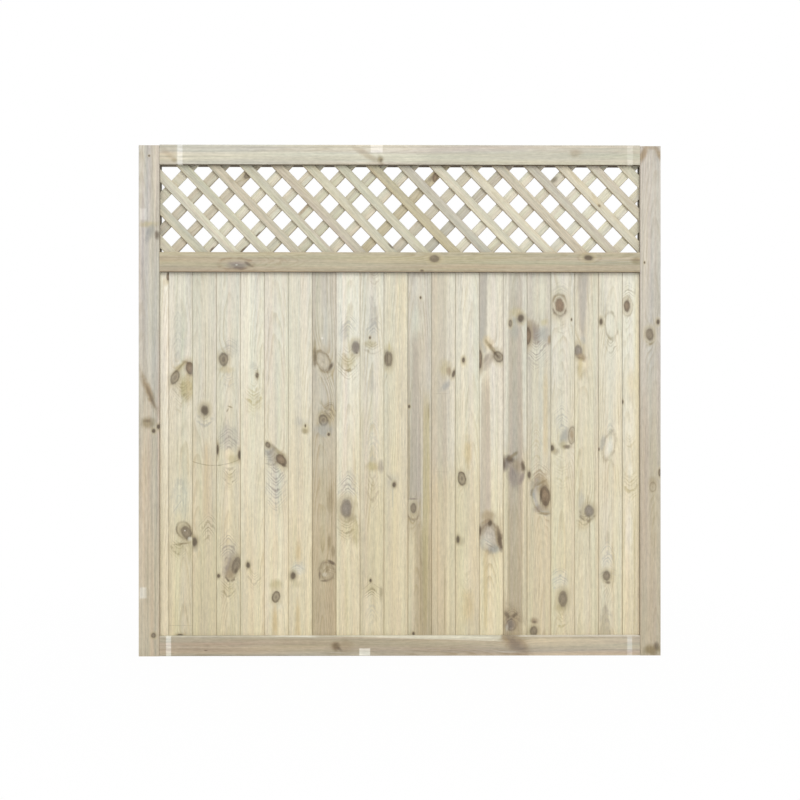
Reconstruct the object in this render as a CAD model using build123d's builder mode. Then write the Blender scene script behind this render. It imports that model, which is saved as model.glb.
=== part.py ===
from build123d import *

import os
from math import ceil, cos, floor, radians, sin, tan

# Lattice top fence panel. A grooved and tenoned softwood frame holds upright tongue and groove boards
# below its middle rail and two crossed layers of diagonal slats above it.
# Millimetres. +X is right seen from the front, -Y is the front, +Z is up, origin at the middle of the foot.

# Frame
panel_width = 1830.0
stile_length = 1788.0
stile_width = 73.0
frame_depth = 45.0
top_rail_height = 70.0
middle_rail_height = 70.0
bottom_rail_height = 70.0
top_rail_proud = 3.0
lattice_height = 306.0
arris_radius = 3.0

# Grooves, mortises and tenons
groove_depth = 15.0
fit_clearance = 0.25
tenon_length = 40.0
tenon_end_gap = 2.0
haunch_height = 10.0
haunch_set_down = 5.0

# T-headed nails through the tenons, driven from the back
nail_thickness = 2.5
nail_length = 36.0
nail_head_width = 6.5
nail_head_thickness = 1.6
nail_point = 0.9
nail_spacing = 20.0
nail_clearance = 0.1
nail_end_gap = 1.0

# Boards
board_thickness = 16.0
board_cover = 84.0
first_board_show = 29.0
board_joint_gap = 0.4
board_bevel = 2.0
board_edge_inset = 12.0
board_top_gap = 3.0
tongue_length = 6.0
tongue_thickness = 5.0
tongue_end_gap = 1.0

# Lattice
slat_width = 32.0
slat_bevel = 1.2
slat_spacing = 111.1
slat_angle = 46.2
front_slat_offset = 47.6
back_slat_offset = 9.2
slat_end_inset = 12.0

# Waney front edge of the bottom rail: where along it, drop down the front, run across the top
wane_sections = [
    (-228.0, 2.0, 3.5),
    (150.0, 15.0, 8.0),
    (318.0, 20.0, 9.5),
    (372.0, 2.0, 3.5),
]
wane_margin = 2.0

# Heights and widths that follow
opening_width = panel_width - 2 * stile_width
shoulders = (-opening_width / 2, opening_width / 2)
top_rail_top = stile_length + top_rail_proud
top_rail_foot = top_rail_top - top_rail_height
middle_rail_top = top_rail_foot - lattice_height
middle_rail_foot = middle_rail_top - middle_rail_height
groove_width = board_thickness + 2 * fit_clearance
back_face = Plane.XZ.offset(-frame_depth / 2)

# Tenons fill the rail between its grooves, with a haunch towards the end of the stile
bottom_tenon = (haunch_set_down + haunch_height, bottom_rail_height - groove_depth)
middle_tenon = (middle_rail_foot + groove_depth, middle_rail_top - groove_depth)
top_tenon = (top_rail_foot + groove_depth, stile_length - haunch_set_down - haunch_height)
tenons = [bottom_tenon, middle_tenon, top_tenon]
haunch_length = groove_depth - fit_clearance


def nail_points(tenon):
    """Where the nails of one rail go, seen from the front: two in the tenon at each end."""
    middle = sum(tenon) / 2
    reach = opening_width / 2 + tenon_length / 2
    return [
        (side * reach, middle + step * nail_spacing / 2)
        for side in (-1, 1)
        for step in (-1, 1)
    ]


os.makedirs("parts", exist_ok=True)


def write_node(piece, name):
    """Label a finished piece and write it to its own file."""
    piece.label = name
    export_step(piece, f"parts/{name}.step")


all_nails = [point for tenon in tenons for point in nail_points(tenon)]
left_nails = [point for point in all_nails if point[0] < 0]
nail_hole = nail_thickness + 2 * nail_clearance
nail_head_recess = nail_head_width + 2 * nail_clearance

# Left stile: a rounded bar with the panel groove, three mortises and the nail holes from the back
with BuildPart() as left_stile:
    with BuildSketch(Plane.XY):
        with Locations((-(panel_width - stile_width) / 2, 0)):
            RectangleRounded(stile_width, frame_depth, arris_radius)
        with Locations((-opening_width / 2, 0)):
            Rectangle(2 * groove_depth, groove_width, mode=Mode.SUBTRACT)
    extrude(amount=stile_length)
    with BuildSketch(Plane.XZ):
        for low, high in tenons:
            with Locations((-opening_width / 2, (low + high) / 2)):
                Rectangle(2 * (tenon_length + tenon_end_gap), high - low + 2 * fit_clearance)
    extrude(amount=groove_width / 2, both=True, mode=Mode.SUBTRACT)
    with BuildSketch(back_face):
        with Locations(*left_nails):
            Rectangle(nail_hole, nail_hole)
    extrude(amount=nail_length + nail_end_gap, mode=Mode.SUBTRACT)
    with BuildSketch(back_face):
        with Locations(*left_nails):
            Rectangle(nail_hole, nail_head_recess)
    extrude(amount=nail_head_thickness, mode=Mode.SUBTRACT)
write_node(left_stile.part, "left_stile")

# Right stile: the left one's mirror image
with BuildPart() as right_stile:
    mirror(left_stile.part, about=Plane.YZ)
write_node(right_stile.part, "right_stile")


def grooved_rail(foot, top, groove_heights, tenon, haunched_edge):
    """A rounded bar between the stiles, with its grooves, a tenon at each end and their nail holes."""
    low, high = tenon
    with BuildPart() as rail:
        with BuildSketch(Plane.YZ):
            with Locations((0, (foot + top) / 2)):
                RectangleRounded(frame_depth, top - foot, arris_radius)
            with Locations(*[(0, height) for height in groove_heights]):
                Rectangle(groove_width, 2 * groove_depth, mode=Mode.SUBTRACT)
        extrude(amount=opening_width / 2, both=True)
        with BuildSketch(Plane.XZ):
            with Locations(*[(x, (low + high) / 2) for x in shoulders]):
                Rectangle(2 * tenon_length, high - low)
            if haunched_edge is not None:
                with Locations(*[(x, haunched_edge) for x in shoulders]):
                    Rectangle(2 * haunch_length, 2 * haunch_height)
        extrude(amount=board_thickness / 2, both=True)
        with BuildSketch(Plane.XZ):
            with Locations(*nail_points(tenon)):
                Rectangle(nail_hole, nail_hole)
        extrude(amount=frame_depth, both=True, mode=Mode.SUBTRACT)
    return rail.part


# Top rail: grooved below for the slats, haunched above its tenons
top_rail = grooved_rail(top_rail_foot, top_rail_top, [top_rail_foot], top_tenon, top_tenon[1])
write_node(top_rail, "top_rail")

# Middle rail: grooved above for the slats and below for the boards
middle_rail = grooved_rail(
    middle_rail_foot, middle_rail_top, [middle_rail_foot, middle_rail_top], middle_tenon, None
)
write_node(middle_rail, "middle_rail")

# Bottom rail: grooved above for the boards, haunched below its tenons, with a waney front edge
with BuildPart() as bottom_rail:
    add(grooved_rail(0, bottom_rail_height, [bottom_rail_height], bottom_tenon, bottom_tenon[0]))
    for x, drop, run in wane_sections:
        with BuildSketch(Plane.YZ.offset(x)):
            with BuildLine():
                Polyline(
                    (-frame_depth / 2 - wane_margin, bottom_rail_height + wane_margin),
                    (-frame_depth / 2 - wane_margin, bottom_rail_height - drop),
                    (-frame_depth / 2, bottom_rail_height - drop),
                    (-frame_depth / 2 + run, bottom_rail_height),
                    (-frame_depth / 2 + run, bottom_rail_height + wane_margin),
                    close=True,
                )
            make_face()
    loft(ruled=True, mode=Mode.SUBTRACT)
write_node(bottom_rail.part, "bottom_rail")

# Tenon nails: square in section under a T head, two in each joint
with BuildPart() as tenon_nails:
    with BuildSketch(back_face):
        with Locations(*all_nails):
            Rectangle(nail_thickness, nail_head_width)
    extrude(amount=nail_head_thickness)
    with BuildSketch(back_face):
        with Locations(*all_nails):
            Rectangle(nail_thickness, nail_thickness)
    extrude(amount=nail_length)
    chamfer(tenon_nails.edges().group_by(Axis.Y)[0], nail_point)
write_node(tenon_nails.part, "tenon_nails")

# Boards: whole ones at an even cover, ripped ones at both sides, standing in the bottom rail's groove
board_foot = bottom_rail_height - groove_depth
board_length = middle_rail_foot + groove_depth - board_top_gap - board_foot
first_joint = -opening_width / 2 + first_board_show
whole_boards = ceil((opening_width - first_board_show) / board_cover) - 1
board_joints = [first_joint + index * board_cover for index in range(whole_boards + 1)]
ripped_edge = opening_width / 2 + board_edge_inset

for index in range(len(board_joints) + 1):
    has_groove = index > 0
    has_tongue = index < len(board_joints)
    left = board_joints[index - 1] + board_joint_gap / 2 if has_groove else -ripped_edge
    right = board_joints[index] - board_joint_gap / 2 if has_tongue else ripped_edge
    with BuildPart() as board:
        with BuildSketch(Plane.XY.offset(board_foot)) as section:
            with Locations(((left + right) / 2, 0)):
                Rectangle(right - left, board_thickness)
            if has_groove:
                chamfer(section.vertices().group_by(Axis.X)[0], board_bevel)
            if has_tongue:
                chamfer(section.vertices().group_by(Axis.X)[-1], board_bevel)
            if has_groove:
                with Locations((left, 0)):
                    Rectangle(
                        2 * (tongue_length + tongue_end_gap),
                        tongue_thickness + 2 * fit_clearance,
                        mode=Mode.SUBTRACT,
                    )
            if has_tongue:
                with Locations((right, 0)):
                    Rectangle(2 * (tongue_length + board_joint_gap), tongue_thickness)
        extrude(amount=board_length)
    write_node(board.part, f"board_{index + 1:02d}")

# Lattice: each layer is half as thick as a board, so that the two layers fill the same groove
slat_thickness = board_thickness / 2
lattice_middle = (middle_rail_top + top_rail_foot) / 2
lattice_seat_width = opening_width + 2 * slat_end_inset
lattice_seat_height = lattice_height + 2 * slat_end_inset
slat_reach = lattice_seat_height / sin(radians(slat_angle)) + slat_width
slat_overrun = opening_width / 2 + lattice_height / 2 / tan(radians(slat_angle))


def slat_places(offset):
    """Where the slats of one layer cross mid-height: every one whose middle line meets the opening."""
    first = ceil((-slat_overrun - offset) / slat_spacing)
    last = floor((slat_overrun - offset) / slat_spacing)
    return [offset + index * slat_spacing for index in range(first, last + 1)]


def lattice_slat(x, lean, y):
    """One slat: a bevelled batten laid on its slope and cut to its seat in the grooves."""
    slope = Plane(
        origin=(x, y, lattice_middle),
        x_dir=(0, 1, 0),
        z_dir=(lean * cos(radians(slat_angle)), 0, sin(radians(slat_angle))),
    )
    with BuildPart() as slat:
        with BuildSketch(slope) as section:
            Rectangle(slat_thickness, slat_width)
            chamfer(section.vertices(), slat_bevel)
        extrude(amount=slat_reach, both=True)
        with Locations((0, y, lattice_middle)):
            Box(lattice_seat_width, slat_thickness, lattice_seat_height, mode=Mode.INTERSECT)
    return slat.part


front_slats = [lattice_slat(x, -1, -slat_thickness / 2) for x in slat_places(front_slat_offset)]
back_slats = [lattice_slat(x, 1, slat_thickness / 2) for x in slat_places(back_slat_offset)]

for index, slat in enumerate(front_slats[1:-1]):
    write_node(slat, f"front_slat_{index + 1:02d}")
for index, slat in enumerate(back_slats[1:-1]):
    write_node(slat, f"back_slat_{index + 1:02d}")

# The short slats across the four corners
with BuildPart() as corner_slats:
    add([front_slats[0], front_slats[-1], back_slats[0], back_slats[-1]])
write_node(corner_slats.part, "corner_slats")
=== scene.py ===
import math
from collections import namedtuple

import bmesh
import bpy
from mathutils import Matrix, Vector


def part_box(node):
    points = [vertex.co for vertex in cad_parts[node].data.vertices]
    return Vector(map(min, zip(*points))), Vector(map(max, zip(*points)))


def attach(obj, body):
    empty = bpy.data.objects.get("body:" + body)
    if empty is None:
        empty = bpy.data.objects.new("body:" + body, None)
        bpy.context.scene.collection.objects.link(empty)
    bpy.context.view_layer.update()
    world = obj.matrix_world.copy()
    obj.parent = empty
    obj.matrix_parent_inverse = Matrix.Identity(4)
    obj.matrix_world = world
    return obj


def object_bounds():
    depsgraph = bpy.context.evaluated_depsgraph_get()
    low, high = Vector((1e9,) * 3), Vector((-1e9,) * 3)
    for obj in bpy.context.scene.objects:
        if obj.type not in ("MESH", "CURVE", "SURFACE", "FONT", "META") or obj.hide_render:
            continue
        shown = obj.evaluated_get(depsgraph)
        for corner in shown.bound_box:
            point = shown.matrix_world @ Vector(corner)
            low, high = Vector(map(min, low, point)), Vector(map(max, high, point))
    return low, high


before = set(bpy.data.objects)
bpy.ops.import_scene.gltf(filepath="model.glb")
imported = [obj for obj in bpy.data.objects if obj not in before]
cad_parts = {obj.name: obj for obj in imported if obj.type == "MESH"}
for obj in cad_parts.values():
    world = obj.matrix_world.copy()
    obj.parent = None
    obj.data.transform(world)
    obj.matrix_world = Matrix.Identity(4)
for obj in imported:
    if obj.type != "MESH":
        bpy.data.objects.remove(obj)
cad_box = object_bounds()

bl_info = {
    "name": "Lattice Top Fence Panel",
    "version": (1, 0, 0),
    "blender": (4, 5, 0),
    "location": "View3D > Sidebar > Fence Panel",
    "description": "Treated pine, galvanised fixings and a plain stage for a lattice top fence panel",
    "category": "Object",
}

BODY = "root"
MILLIMETRE = 0.001

# Knots, from the heart outwards: reach in knot radii, tone, cover
KNOT_KINDS = {
    "grey": (
        (0.00, (138, 126, 108), 0.90),
        (0.40, (133, 121, 102), 0.90),
        (0.75, (123, 111, 92), 0.90),
        (0.94, (119, 106, 86), 0.80),
        (1.14, (156, 143, 115), 0.56),
        (1.50, (184, 171, 137), 0.46),
        (2.30, (206, 195, 166), 0.00),
    ),
    "plum": (
        (0.00, (138, 129, 120), 0.90),
        (0.55, (134, 125, 115), 0.90),
        (0.85, (126, 116, 103), 0.86),
        (1.04, (140, 129, 111), 0.66),
        (1.22, (174, 162, 135), 0.58),
        (1.55, (182, 169, 137), 0.50),
        (2.30, (206, 194, 162), 0.00),
    ),
    "brown": (
        (0.00, (138, 119, 97), 0.90),
        (0.45, (130, 111, 89), 0.92),
        (0.76, (114, 97, 77), 0.92),
        (0.95, (104, 88, 69), 0.86),
        (1.14, (148, 131, 103), 0.55),
        (1.50, (186, 171, 137), 0.42),
        (2.30, (208, 194, 162), 0.00),
    ),
    "dark": (
        (0.00, (100, 88, 73), 0.95),
        (0.50, (98, 86, 71), 0.95),
        (0.82, (104, 92, 75), 0.86),
        (1.12, (142, 128, 102), 0.58),
        (1.55, (180, 167, 133), 0.46),
        (2.40, (206, 194, 162), 0.00),
    ),
    "ringed": (
        (0.00, (120, 108, 90), 0.88),
        (0.30, (128, 116, 97), 0.88),
        (0.55, (148, 136, 113), 0.84),
        (0.72, (136, 124, 102), 0.84),
        (0.92, (110, 98, 79), 0.86),
        (1.08, (136, 123, 99), 0.66),
        (1.30, (178, 166, 134), 0.46),
        (2.30, (206, 195, 166), 0.00),
    ),
    "eyed": (
        (0.00, (138, 116, 94), 0.92),
        (0.34, (132, 110, 88), 0.92),
        (0.52, (118, 99, 78), 0.88),
        (0.66, (158, 142, 115), 0.64),
        (0.80, (184, 171, 141), 0.50),
        (0.94, (160, 145, 115), 0.52),
        (1.06, (150, 135, 106), 0.50),
        (1.25, (186, 173, 140), 0.32),
        (2.20, (206, 195, 166), 0.00),
    ),
    "pale": (
        (0.00, (160, 147, 124), 0.62),
        (0.25, (180, 168, 144), 0.52),
        (0.60, (178, 166, 141), 0.50),
        (0.82, (164, 151, 126), 0.56),
        (0.98, (142, 128, 104), 0.62),
        (1.14, (166, 152, 125), 0.42),
        (1.40, (192, 179, 148), 0.22),
        (2.10, (204, 193, 164), 0.00),
    ),
    "bark": (
        (0.00, (184, 176, 165), 0.85),
        (0.50, (178, 169, 156), 0.84),
        (0.75, (164, 152, 134), 0.80),
        (0.94, (136, 119, 97), 0.80),
        (1.08, (140, 122, 99), 0.60),
        (1.25, (182, 167, 138), 0.35),
        (2.20, (204, 193, 164), 0.00),
    ),
}

# How far out a knot is drawn, in radii, and how much it climbs on its way through the wood
KNOT_REACH = 2.5
KNOT_RISE = 0.12

# Marks on a piece of timber. Each is placed across and along the grain, in millimetres.

# A knot: its size, kind, turn from the grain in degrees and pull on the rings. With no kind it only pulls.
Knot = namedtuple("Knot", "across along width height kind turn pull", defaults=("grey", 0.0, 1.0))

# A soft patch: its size, tone, cover and turn
Patch = namedtuple("Patch", "across along width height tone cover turn", defaults=(0.5, 0.0))

# A line round an oval, up to a level that goes from -1 at its foot to 1 at its head
Arc = namedtuple(
    "Arc", "across along width height tone cover turn line level", defaults=(0.6, 0.0, 0.1, 2.0)
)

# Nested lines where the grain bends: a soft oval of them, how steep they are, pointing up or, below zero,
# down, and from one line to the next
Feather = namedtuple(
    "Feather", "across along width height tone cover steep spacing turn", defaults=(0.0,)
)

# A stain along the grain: its ends, its width at each, tone, cover, soft sides, soft ends, and whether it
# goes through the wood
Stain = namedtuple(
    "Stain",
    "across foot head foot_width head_width tone cover edge fade through",
    defaults=(0.6, 6.0, 60.0, True),
)

# A piece of timber: its tones at the panel's top and foot, how far the pith lies to the side of its middle
# and behind it, its marks, and how strong its rings and streaks are
Timber = namedtuple("Timber", "upper lower pith depth marks rings streaks", defaults=((), 1.0, 1.0))

# A curved scratch over two boards
SCRATCH = Arc(-654, 865, 394, 394, "sap", 1.0, 0, 0.008, -0.93)

# Boards from left to right, in the panel's own frame: across is x, along is height
BOARDS = (
    Timber("milk", "barley", 45, 60, (
        Patch(-822, 1312, 24, 34, "rust", 0.4),
        Knot(-815, 1332, 9, 27, "brown"),
    )),
    Timber("bone", "wheat", 8, 45, (
        Stain(-771, 700, 1345, 84, 84, "milk", 0.15, 3, 100),
        Stain(-812, 60, 1345, 2, 2, "bark", 0.3, 0.8, 10),
        Patch(-778, 1130, 52, 200, "sage", 0.6),
        Patch(-750, 944, 70, 110, "olive", 0.9),
        Feather(-780, 1120, 46, 280, "slate", 0.4, 2.5, 30),
        Feather(-766, 932, 80, 100, "sap", 0.6, -1.0, 15),
        Patch(-771, 1014, 22, 66, "olive", 0.95, -46),
        Patch(-746, 1028, 14, 50, "sap", 0.6, 75),
        Patch(-756, 1006, 24, 30, "ivory", 0.6),
        Patch(-771, 1015, 7, 56, "bark", 0.55, -42),
        Patch(-743, 1029, 6, 34, "bark", 0.55, 72),
        Knot(-790, 977, 26, 48, "ringed", -20),
        Knot(-738, 1010, 28, 42, "brown", 15),
        Patch(-730, 1000, 22, 40, "plum", 0.5),
        Patch(-770, 560, 60, 160, "sage", 0.4),
        Feather(-776, 570, 56, 260, "slate", 0.45, 3.0, 56),
        Feather(-770, 878, 60, 60, "olive", 0.5, -1.2, 18),
        Patch(-782, 525, 5, 60, "slate", 0.45, -35),
        Patch(-776, 375, 60, 60, "olive", 0.4),
        Feather(-777, 378, 70, 80, "sap", 0.7, -1.0, 15),
        Patch(-760, 436, 62, 76, "shade", 0.3, 20),
        Arc(-759, 440, 46, 64, "bark", 0.85, 25, 0.14),
        Knot(-751, 432, 34, 46, "grey", 25),
        Patch(-738, 410, 16, 16, "cream", 0.7),
        Patch(-756, 439, 5, 5, "chalk", 0.9),
        Patch(-767, 393, 58, 7, "sap", 0.7, 6),
        Patch(-738, 368, 18, 90, "olive", 0.5),
        Stain(-771, 104, 106, 84, 84, "sap", 0.3, 3, 1),
        Knot(-773, 70, 22, 12, "dark"),
    )),
    Timber("straw", "oat", -30, 40, (
        Stain(-687, 760, 1345, 84, 84, "bone", 0.4, 3, 100),
        Stain(-683, 894, 1172, 1.6, 1.2, "sap", 0.75, 0.8, 30),
        Feather(-686, 826, 70, 60, "slate", 0.9, -0.9, 14),
        Patch(-705, 840, 14, 14, "slate", 0.5),
        Patch(-660, 832, 14, 14, "slate", 0.45),
        Knot(-686.5, 862, 27, 36, "dark", 0, 1.5),
        Stain(-689, 796, 845, 1.5, 2.5, "sap", 0.7, 0.8, 12),
        Stain(-681, 480, 740, 26, 14, "fawn", 1.0, 5, 30),
        Stain(-681, 480, 740, 24, 12, "rust", 0.5, 5, 30),
        Feather(-674, 452, 66, 120, "sap", 0.7, 1.3, 18),
        Patch(-720, 380, 24, 40, "slate", 0.4),
        Knot(-722, 400, 20, 32, "dark"),
        SCRATCH,
    )),
    Timber("bone", "wheat", 0, 38, (
        Patch(-593, 1078, 64, 70, "slate", 0.3),
        Patch(-611, 1004, 60, 26, "olive", 0.5),
        Feather(-600, 1082, 64, 76, "slate", 0.7, 0.8, 12),
        Feather(-602, 966, 64, 70, "slate", 0.4, -0.8, 14),
        Knot(-620, 1040, 30, 42, "ringed"),
        Patch(-620, 1040, 24, 36, "bark", 0.35),
        Patch(-598, 874, 20, 7, "sap", 0.7, -20),
        Patch(-606, 862, 7, 20, "sap", 0.6, -30),
        Patch(-602, 766, 80, 110, "slate", 0.45),
        Feather(-602, 758, 78, 110, "plum", 0.75, 0.9, 13),
        Feather(-598, 628, 56, 84, "sap", 0.85, -1.0, 15),
        Patch(-604, 708, 52, 40, "honey", 0.75),
        Patch(-588, 690, 44, 40, "olive", 0.6),
        Knot(-564, 705, 12, 31, "dark"),
        Knot(-641, 723, 8, 36, "dark"),
        SCRATCH,
        Patch(-602, 630, 34, 34, "olive", 0.4),
        Patch(-597, 365, 50, 80, "slate", 0.4),
        Feather(-603, 380, 66, 120, "plum", 0.9, 1.2, 15),
        Patch(-597, 318, 48, 92, "plum", 0.95, -14),
        Patch(-601, 310, 10, 60, "bark", 0.35, -14),
        Knot(-576, 316, 28, 60, "grey", -18, 1.4),
        Patch(-576, 300, 14, 34, "bark", 0.6, -18),
        Patch(-596, 284, 36, 36, "shade", 0.75),
        Arc(-596, 298, 38, 74, "bark", 0.9, 0, 0.16, -0.6),
        Patch(-606, 230, 60, 50, "olive", 0.3),
        Feather(-604, 232, 66, 100, "sap", 0.65, -1.0, 15),
        Knot(-638, 280, 11, 15, "dark"),
    )),
    Timber("cream", "honey", 35, 34, (
        Patch(-517, 1018, 30, 34, "slate", 0.35),
        Knot(-502.5, 985, 10, 18, "dark", 0, 3.0),
        Stain(-502, 958, 1010, 1, 3, "sap", 0.7, 1.2, 8),
        Feather(-508, 1004, 44, 46, "slate", 0.5, 0.8, 8),
        Patch(-512, 890, 60, 80, "olive", 0.3),
        Feather(-514, 905, 74, 110, "olive", 0.9, -0.9, 15),
        Knot(-534, 317, 14, 21, "dark", 0, 1.4),
        Patch(-524, 296, 16, 20, "olive", 0.4),
        Feather(-512, 268, 56, 80, "sap", 0.4, -1.2, 13),
    )),
    Timber("ivory", "honey", -5, 48, (
        Stain(-435, 60, 520, 84, 84, "barley", 0.45, 3, 100),
        Patch(-438, 610, 74, 150, "mist", 0.7),
        Feather(-436, 600, 84, 190, "plum", 0.85, -1.1, 15),
        Patch(-436, 722, 94, 20, "sap", 0.7, -38),
        Patch(-453, 702, 46, 84, "slate", 0.85, 24),
        Feather(-452, 692, 60, 84, "bark", 0.55, -0.6, 14, 20),
        Knot(-465, 740, 15, 20, "grey", 30),
        Knot(-418, 687, 29, 44, "brown", 40),
        Patch(-410, 668, 22, 12, "bark", 0.7, -20),
        Patch(-436, 172, 50, 34, "mist", 0.4),
        Patch(-436, 250, 44, 40, "olive", 0.75),
        Knot(-436, 206, 25, 36, "ringed", -10, 1.2),
        Arc(-436, 206, 26, 37, "bark", 0.7, -10, 0.12),
        Stain(-440, 70, 170, 22, 12, "rust", 1.0, 6, 30),
    )),
    Timber("ivory", "honey", 40, 36, (
        Patch(-331, 797, 30, 40, "olive", 0.5),
        Patch(-350, 822, 56, 36, "slate", 0.35),
        Patch(-335, 788, 24, 22, "sap", 0.6),
        Knot(-333, 807, 5, 10, "dark", 0, 2.0),
        Patch(-362, 250, 34, 28, "olive", 0.45),
        Patch(-356, 306, 50, 50, "mist", 0.7),
        Feather(-362, 310, 60, 64, "slate", 0.6, 0.7, 9),
        Knot(-376, 280, 19, 25, "dark", 0, 1.2),
        Patch(-357, 366, 26, 90, "rust", 0.9),
        Stain(-360, 60, 190, 22, 10, "rust", 1.0, 6, 40),
    )),
    Timber("drab", "umber", -10, 32, (
        Patch(-262, 1160, 44, 160, "sage", 0.4),
        Stain(-300, 940, 1345, 14, 10, "dusk", 0.6, 5, 40),
        Patch(-301, 1062, 16, 90, "sap", 0.7),
        Patch(-268, 1035, 40, 60, "bone", 0.4, 24),
        Knot(-270, 1033, 42, 74, "pale", 24, 0.7),
        Arc(-270, 1033, 46, 80, "sap", 0.7, 24, 0.11),
        Patch(-300, 1046, 12, 70, "bark", 0.6),
        Patch(-243, 1016, 16, 34, "bark", 0.9, -24),
        Feather(-262, 990, 60, 60, "sap", 0.4, -0.7, 12),
        Patch(-273.5, 1115, 8, 8, "chalk", 0.9),
        Patch(-254, 862, 64, 64, "sap", 0.4),
        Patch(-238, 850, 24, 64, "rust", 0.45),
        Feather(-250, 856, 64, 90, "bark", 0.65, 1.0, 13, -20),
        Patch(-255, 846, 10, 34, "bark", 0.7, 40),
        Knot(-270, 826, 31, 38, "ringed", 10, 1.4),
        Patch(-268, 794, 70, 50, "slate", 0.7),
        Knot(-251, 777, 8, 10, "dark"),
        Stain(-268.7, 650, 760, 1.6, 1.6, "bark", 0.45, 0.8, 20),
        Patch(-246, 540, 26, 110, "sap", 0.45),
        Patch(-249, 398, 14, 60, "sap", 0.6),
        Patch(-236, 366, 12, 50, "sap", 0.6),
        Stain(-240, 380, 600, 3, 3, "sap", 0.4, 1.5, 40),
        Knot(-257, 296, 48, 66, "pale", 20, 0.5),
        Feather(-254, 300, 60, 90, "sap", 0.6, 0.9, 13, 20),
        Patch(-256, 304, 10, 20, "sap", 0.7),
        Patch(-266, 284, 18, 14, "bone", 0.35),
        Patch(-241, 327, 12, 38, "bark", 0.8, 58),
        Patch(-283, 280, 8, 28, "bark", 0.6),
        Patch(-268, 262, 26, 8, "bark", 0.6),
    ), 1.3),
    Timber("cream", "honey", 5, 42, (
        Stain(-186, 60, 390, 74, 74, "honey", 0.7, 6, 40),
        Patch(-196, 1135, 44, 60, "slate", 0.35),
        Feather(-183, 1160, 70, 84, "slate", 0.8, 1.2, 16),
        Feather(-183, 1022, 84, 120, "sap", 0.95, -1.0, 16),
        Knot(-156, 1082, 27, 40, "plum", 0, 1.2),
        Patch(-156, 1082, 20, 30, "bark", 0.3),
        Patch(-153, 1063, 10, 8, "bark", 0.6),
        Patch(-184, 1030, 66, 60, "olive", 0.6),
        Patch(-186, 595, 70, 120, "mist", 0.6),
        Feather(-184, 590, 84, 140, "plum", 0.8, 1.1, 15),
        Patch(-186, 445, 70, 80, "olive", 0.4),
        Feather(-187, 450, 80, 100, "sap", 0.7, -0.7, 13),
        Patch(-172, 486, 46, 30, "sap", 0.5),
        Patch(-158, 430, 34, 90, "olive", 0.6),
        Knot(-189, 517, 39.5, 58, "plum", 0, 1.4),
        Stain(-190, 110, 300, 14, 8, "olive", 0.35, 6, 60),
    )),
    Timber("bone", "oat", 0, 30, (
        Stain(-100, 60, 240, 60, 60, "honey", 0.6, 8, 40),
        Patch(-95, 1190, 34, 170, "slate", 0.35),
        Feather(-90, 1325, 44, 70, "shade", 0.5, -1.2, 14),
        Feather(-92, 1225, 40, 150, "dusk", 0.6, -2.5, 40),
        Feather(-92, 1152, 56, 76, "slate", 0.9, 1.2, 16),
        Patch(-104, 1095, 50, 30, "olive", 0.6),
        Feather(-97, 1080, 66, 50, "sap", 0.6, -0.6, 13),
        Knot(-106, 1117, 7, 10, "dark", 0, 3.5),
        Stain(-99, 925, 1010, 18, 6, "dusk", 0.7, 5, 20),
        Feather(-97, 750, 60, 210, "slate", 0.5, 1.8, 30),
        Patch(-96, 664, 50, 36, "olive", 0.85),
        Patch(-68, 664, 24, 50, "plum", 0.6),
        Feather(-97, 580, 60, 170, "shade", 0.55, -2.0, 26),
        Patch(-103, 235, 56, 36, "olive", 0.45),
        Feather(-100, 224, 70, 70, "sap", 1.0, 0.8, 14),
        Patch(-67, 216, 16, 50, "sap", 0.5),
        Feather(-100, 160, 60, 110, "slate", 0.4, 1.6, 22),
        Knot(-104, 263, 8, 12, "dark", 0, 3.5),
    ), 1.5),
    Timber("straw", "wheat", 25, 40, (
        Stain(-15, 60, 640, 84, 84, "oat", 0.5, 3, 100),
        Stain(6, 100, 1345, 34, 38, "honey", 0.6, 10, 80),
        Knot(-42, 1042, 29, 52, "grey", 0, 1.2),
        Patch(-51, 1044, 9, 46, "bark", 0.5),
        Stain(-44, 1022, 1062, 2.4, 2.4, "bark", 0.7, 1.2, 8),
        Patch(-38, 1086, 9, 40, "olive", 0.7),
        Patch(-38, 625, 34, 9, "sap", 0.45, -50),
        Stain(-26, 520, 590, 4, 5, "slate", 0.5, 2.5, 14),
        Patch(-24, 612, 44, 60, "slate", 0.4),
        Knot(-21, 600, 12.6, 18, "dark", 0, 1.6),
    )),
    Timber("drab", "umber", -15, 36, (
        Stain(54, 545, 1140, 44, 16, "dusk", 0.95, 5, 50),
        Stain(32, 545, 1110, 4, 3, "sap", 0.45, 2, 40),
        Stain(79, 560, 1150, 3, 3, "sap", 0.5, 2, 40),
        Stain(62, 560, 900, 2, 2, "bone", 0.6, 1.5, 60),
        Stain(92, 470, 900, 26, 20, "olive", 0.6, 5, 60),
        Stain(77, 480, 1200, 6, 5, "cream", 0.5, 2, 120),
        Patch(58, 1170, 44, 120, "sage", 0.7),
        Patch(66, 1290, 60, 90, "bone", 0.6),
        Knot(72, 1258, 6, 9, "dark", 0, 2.0),
        Knot(32, 875, 8, 11, "dark"),
        Stain(100, 820, 880, 3, 3, "sap", 0.5, 1.5, 20),
        Stain(40, 70, 440, 24, 18, "wheat", 0.8, 6, 60),
        Stain(88, 90, 460, 12, 24, "olive", 0.7, 5, 60),
        Stain(72, 90, 440, 4, 7, "sap", 0.4, 2, 60),
        Stain(84, 90, 420, 22, 16, "sap", 0.28, 5, 60),
        Stain(102, 70, 420, 3, 3, "sap", 0.4, 2, 60),
        Patch(46, 522, 40, 64, "bone", 0.5),
        Knot(47, 518, 20, 36, "grey", 0, 2.0),
        Arc(47, 512, 44, 76, "bark", 0.75, 0, 0.12, -0.45),
        Patch(46, 550, 34, 9, "plum", 0.8),
        Knot(47, 76, 9, 12, "dark"),
    ), 1.2),
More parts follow.
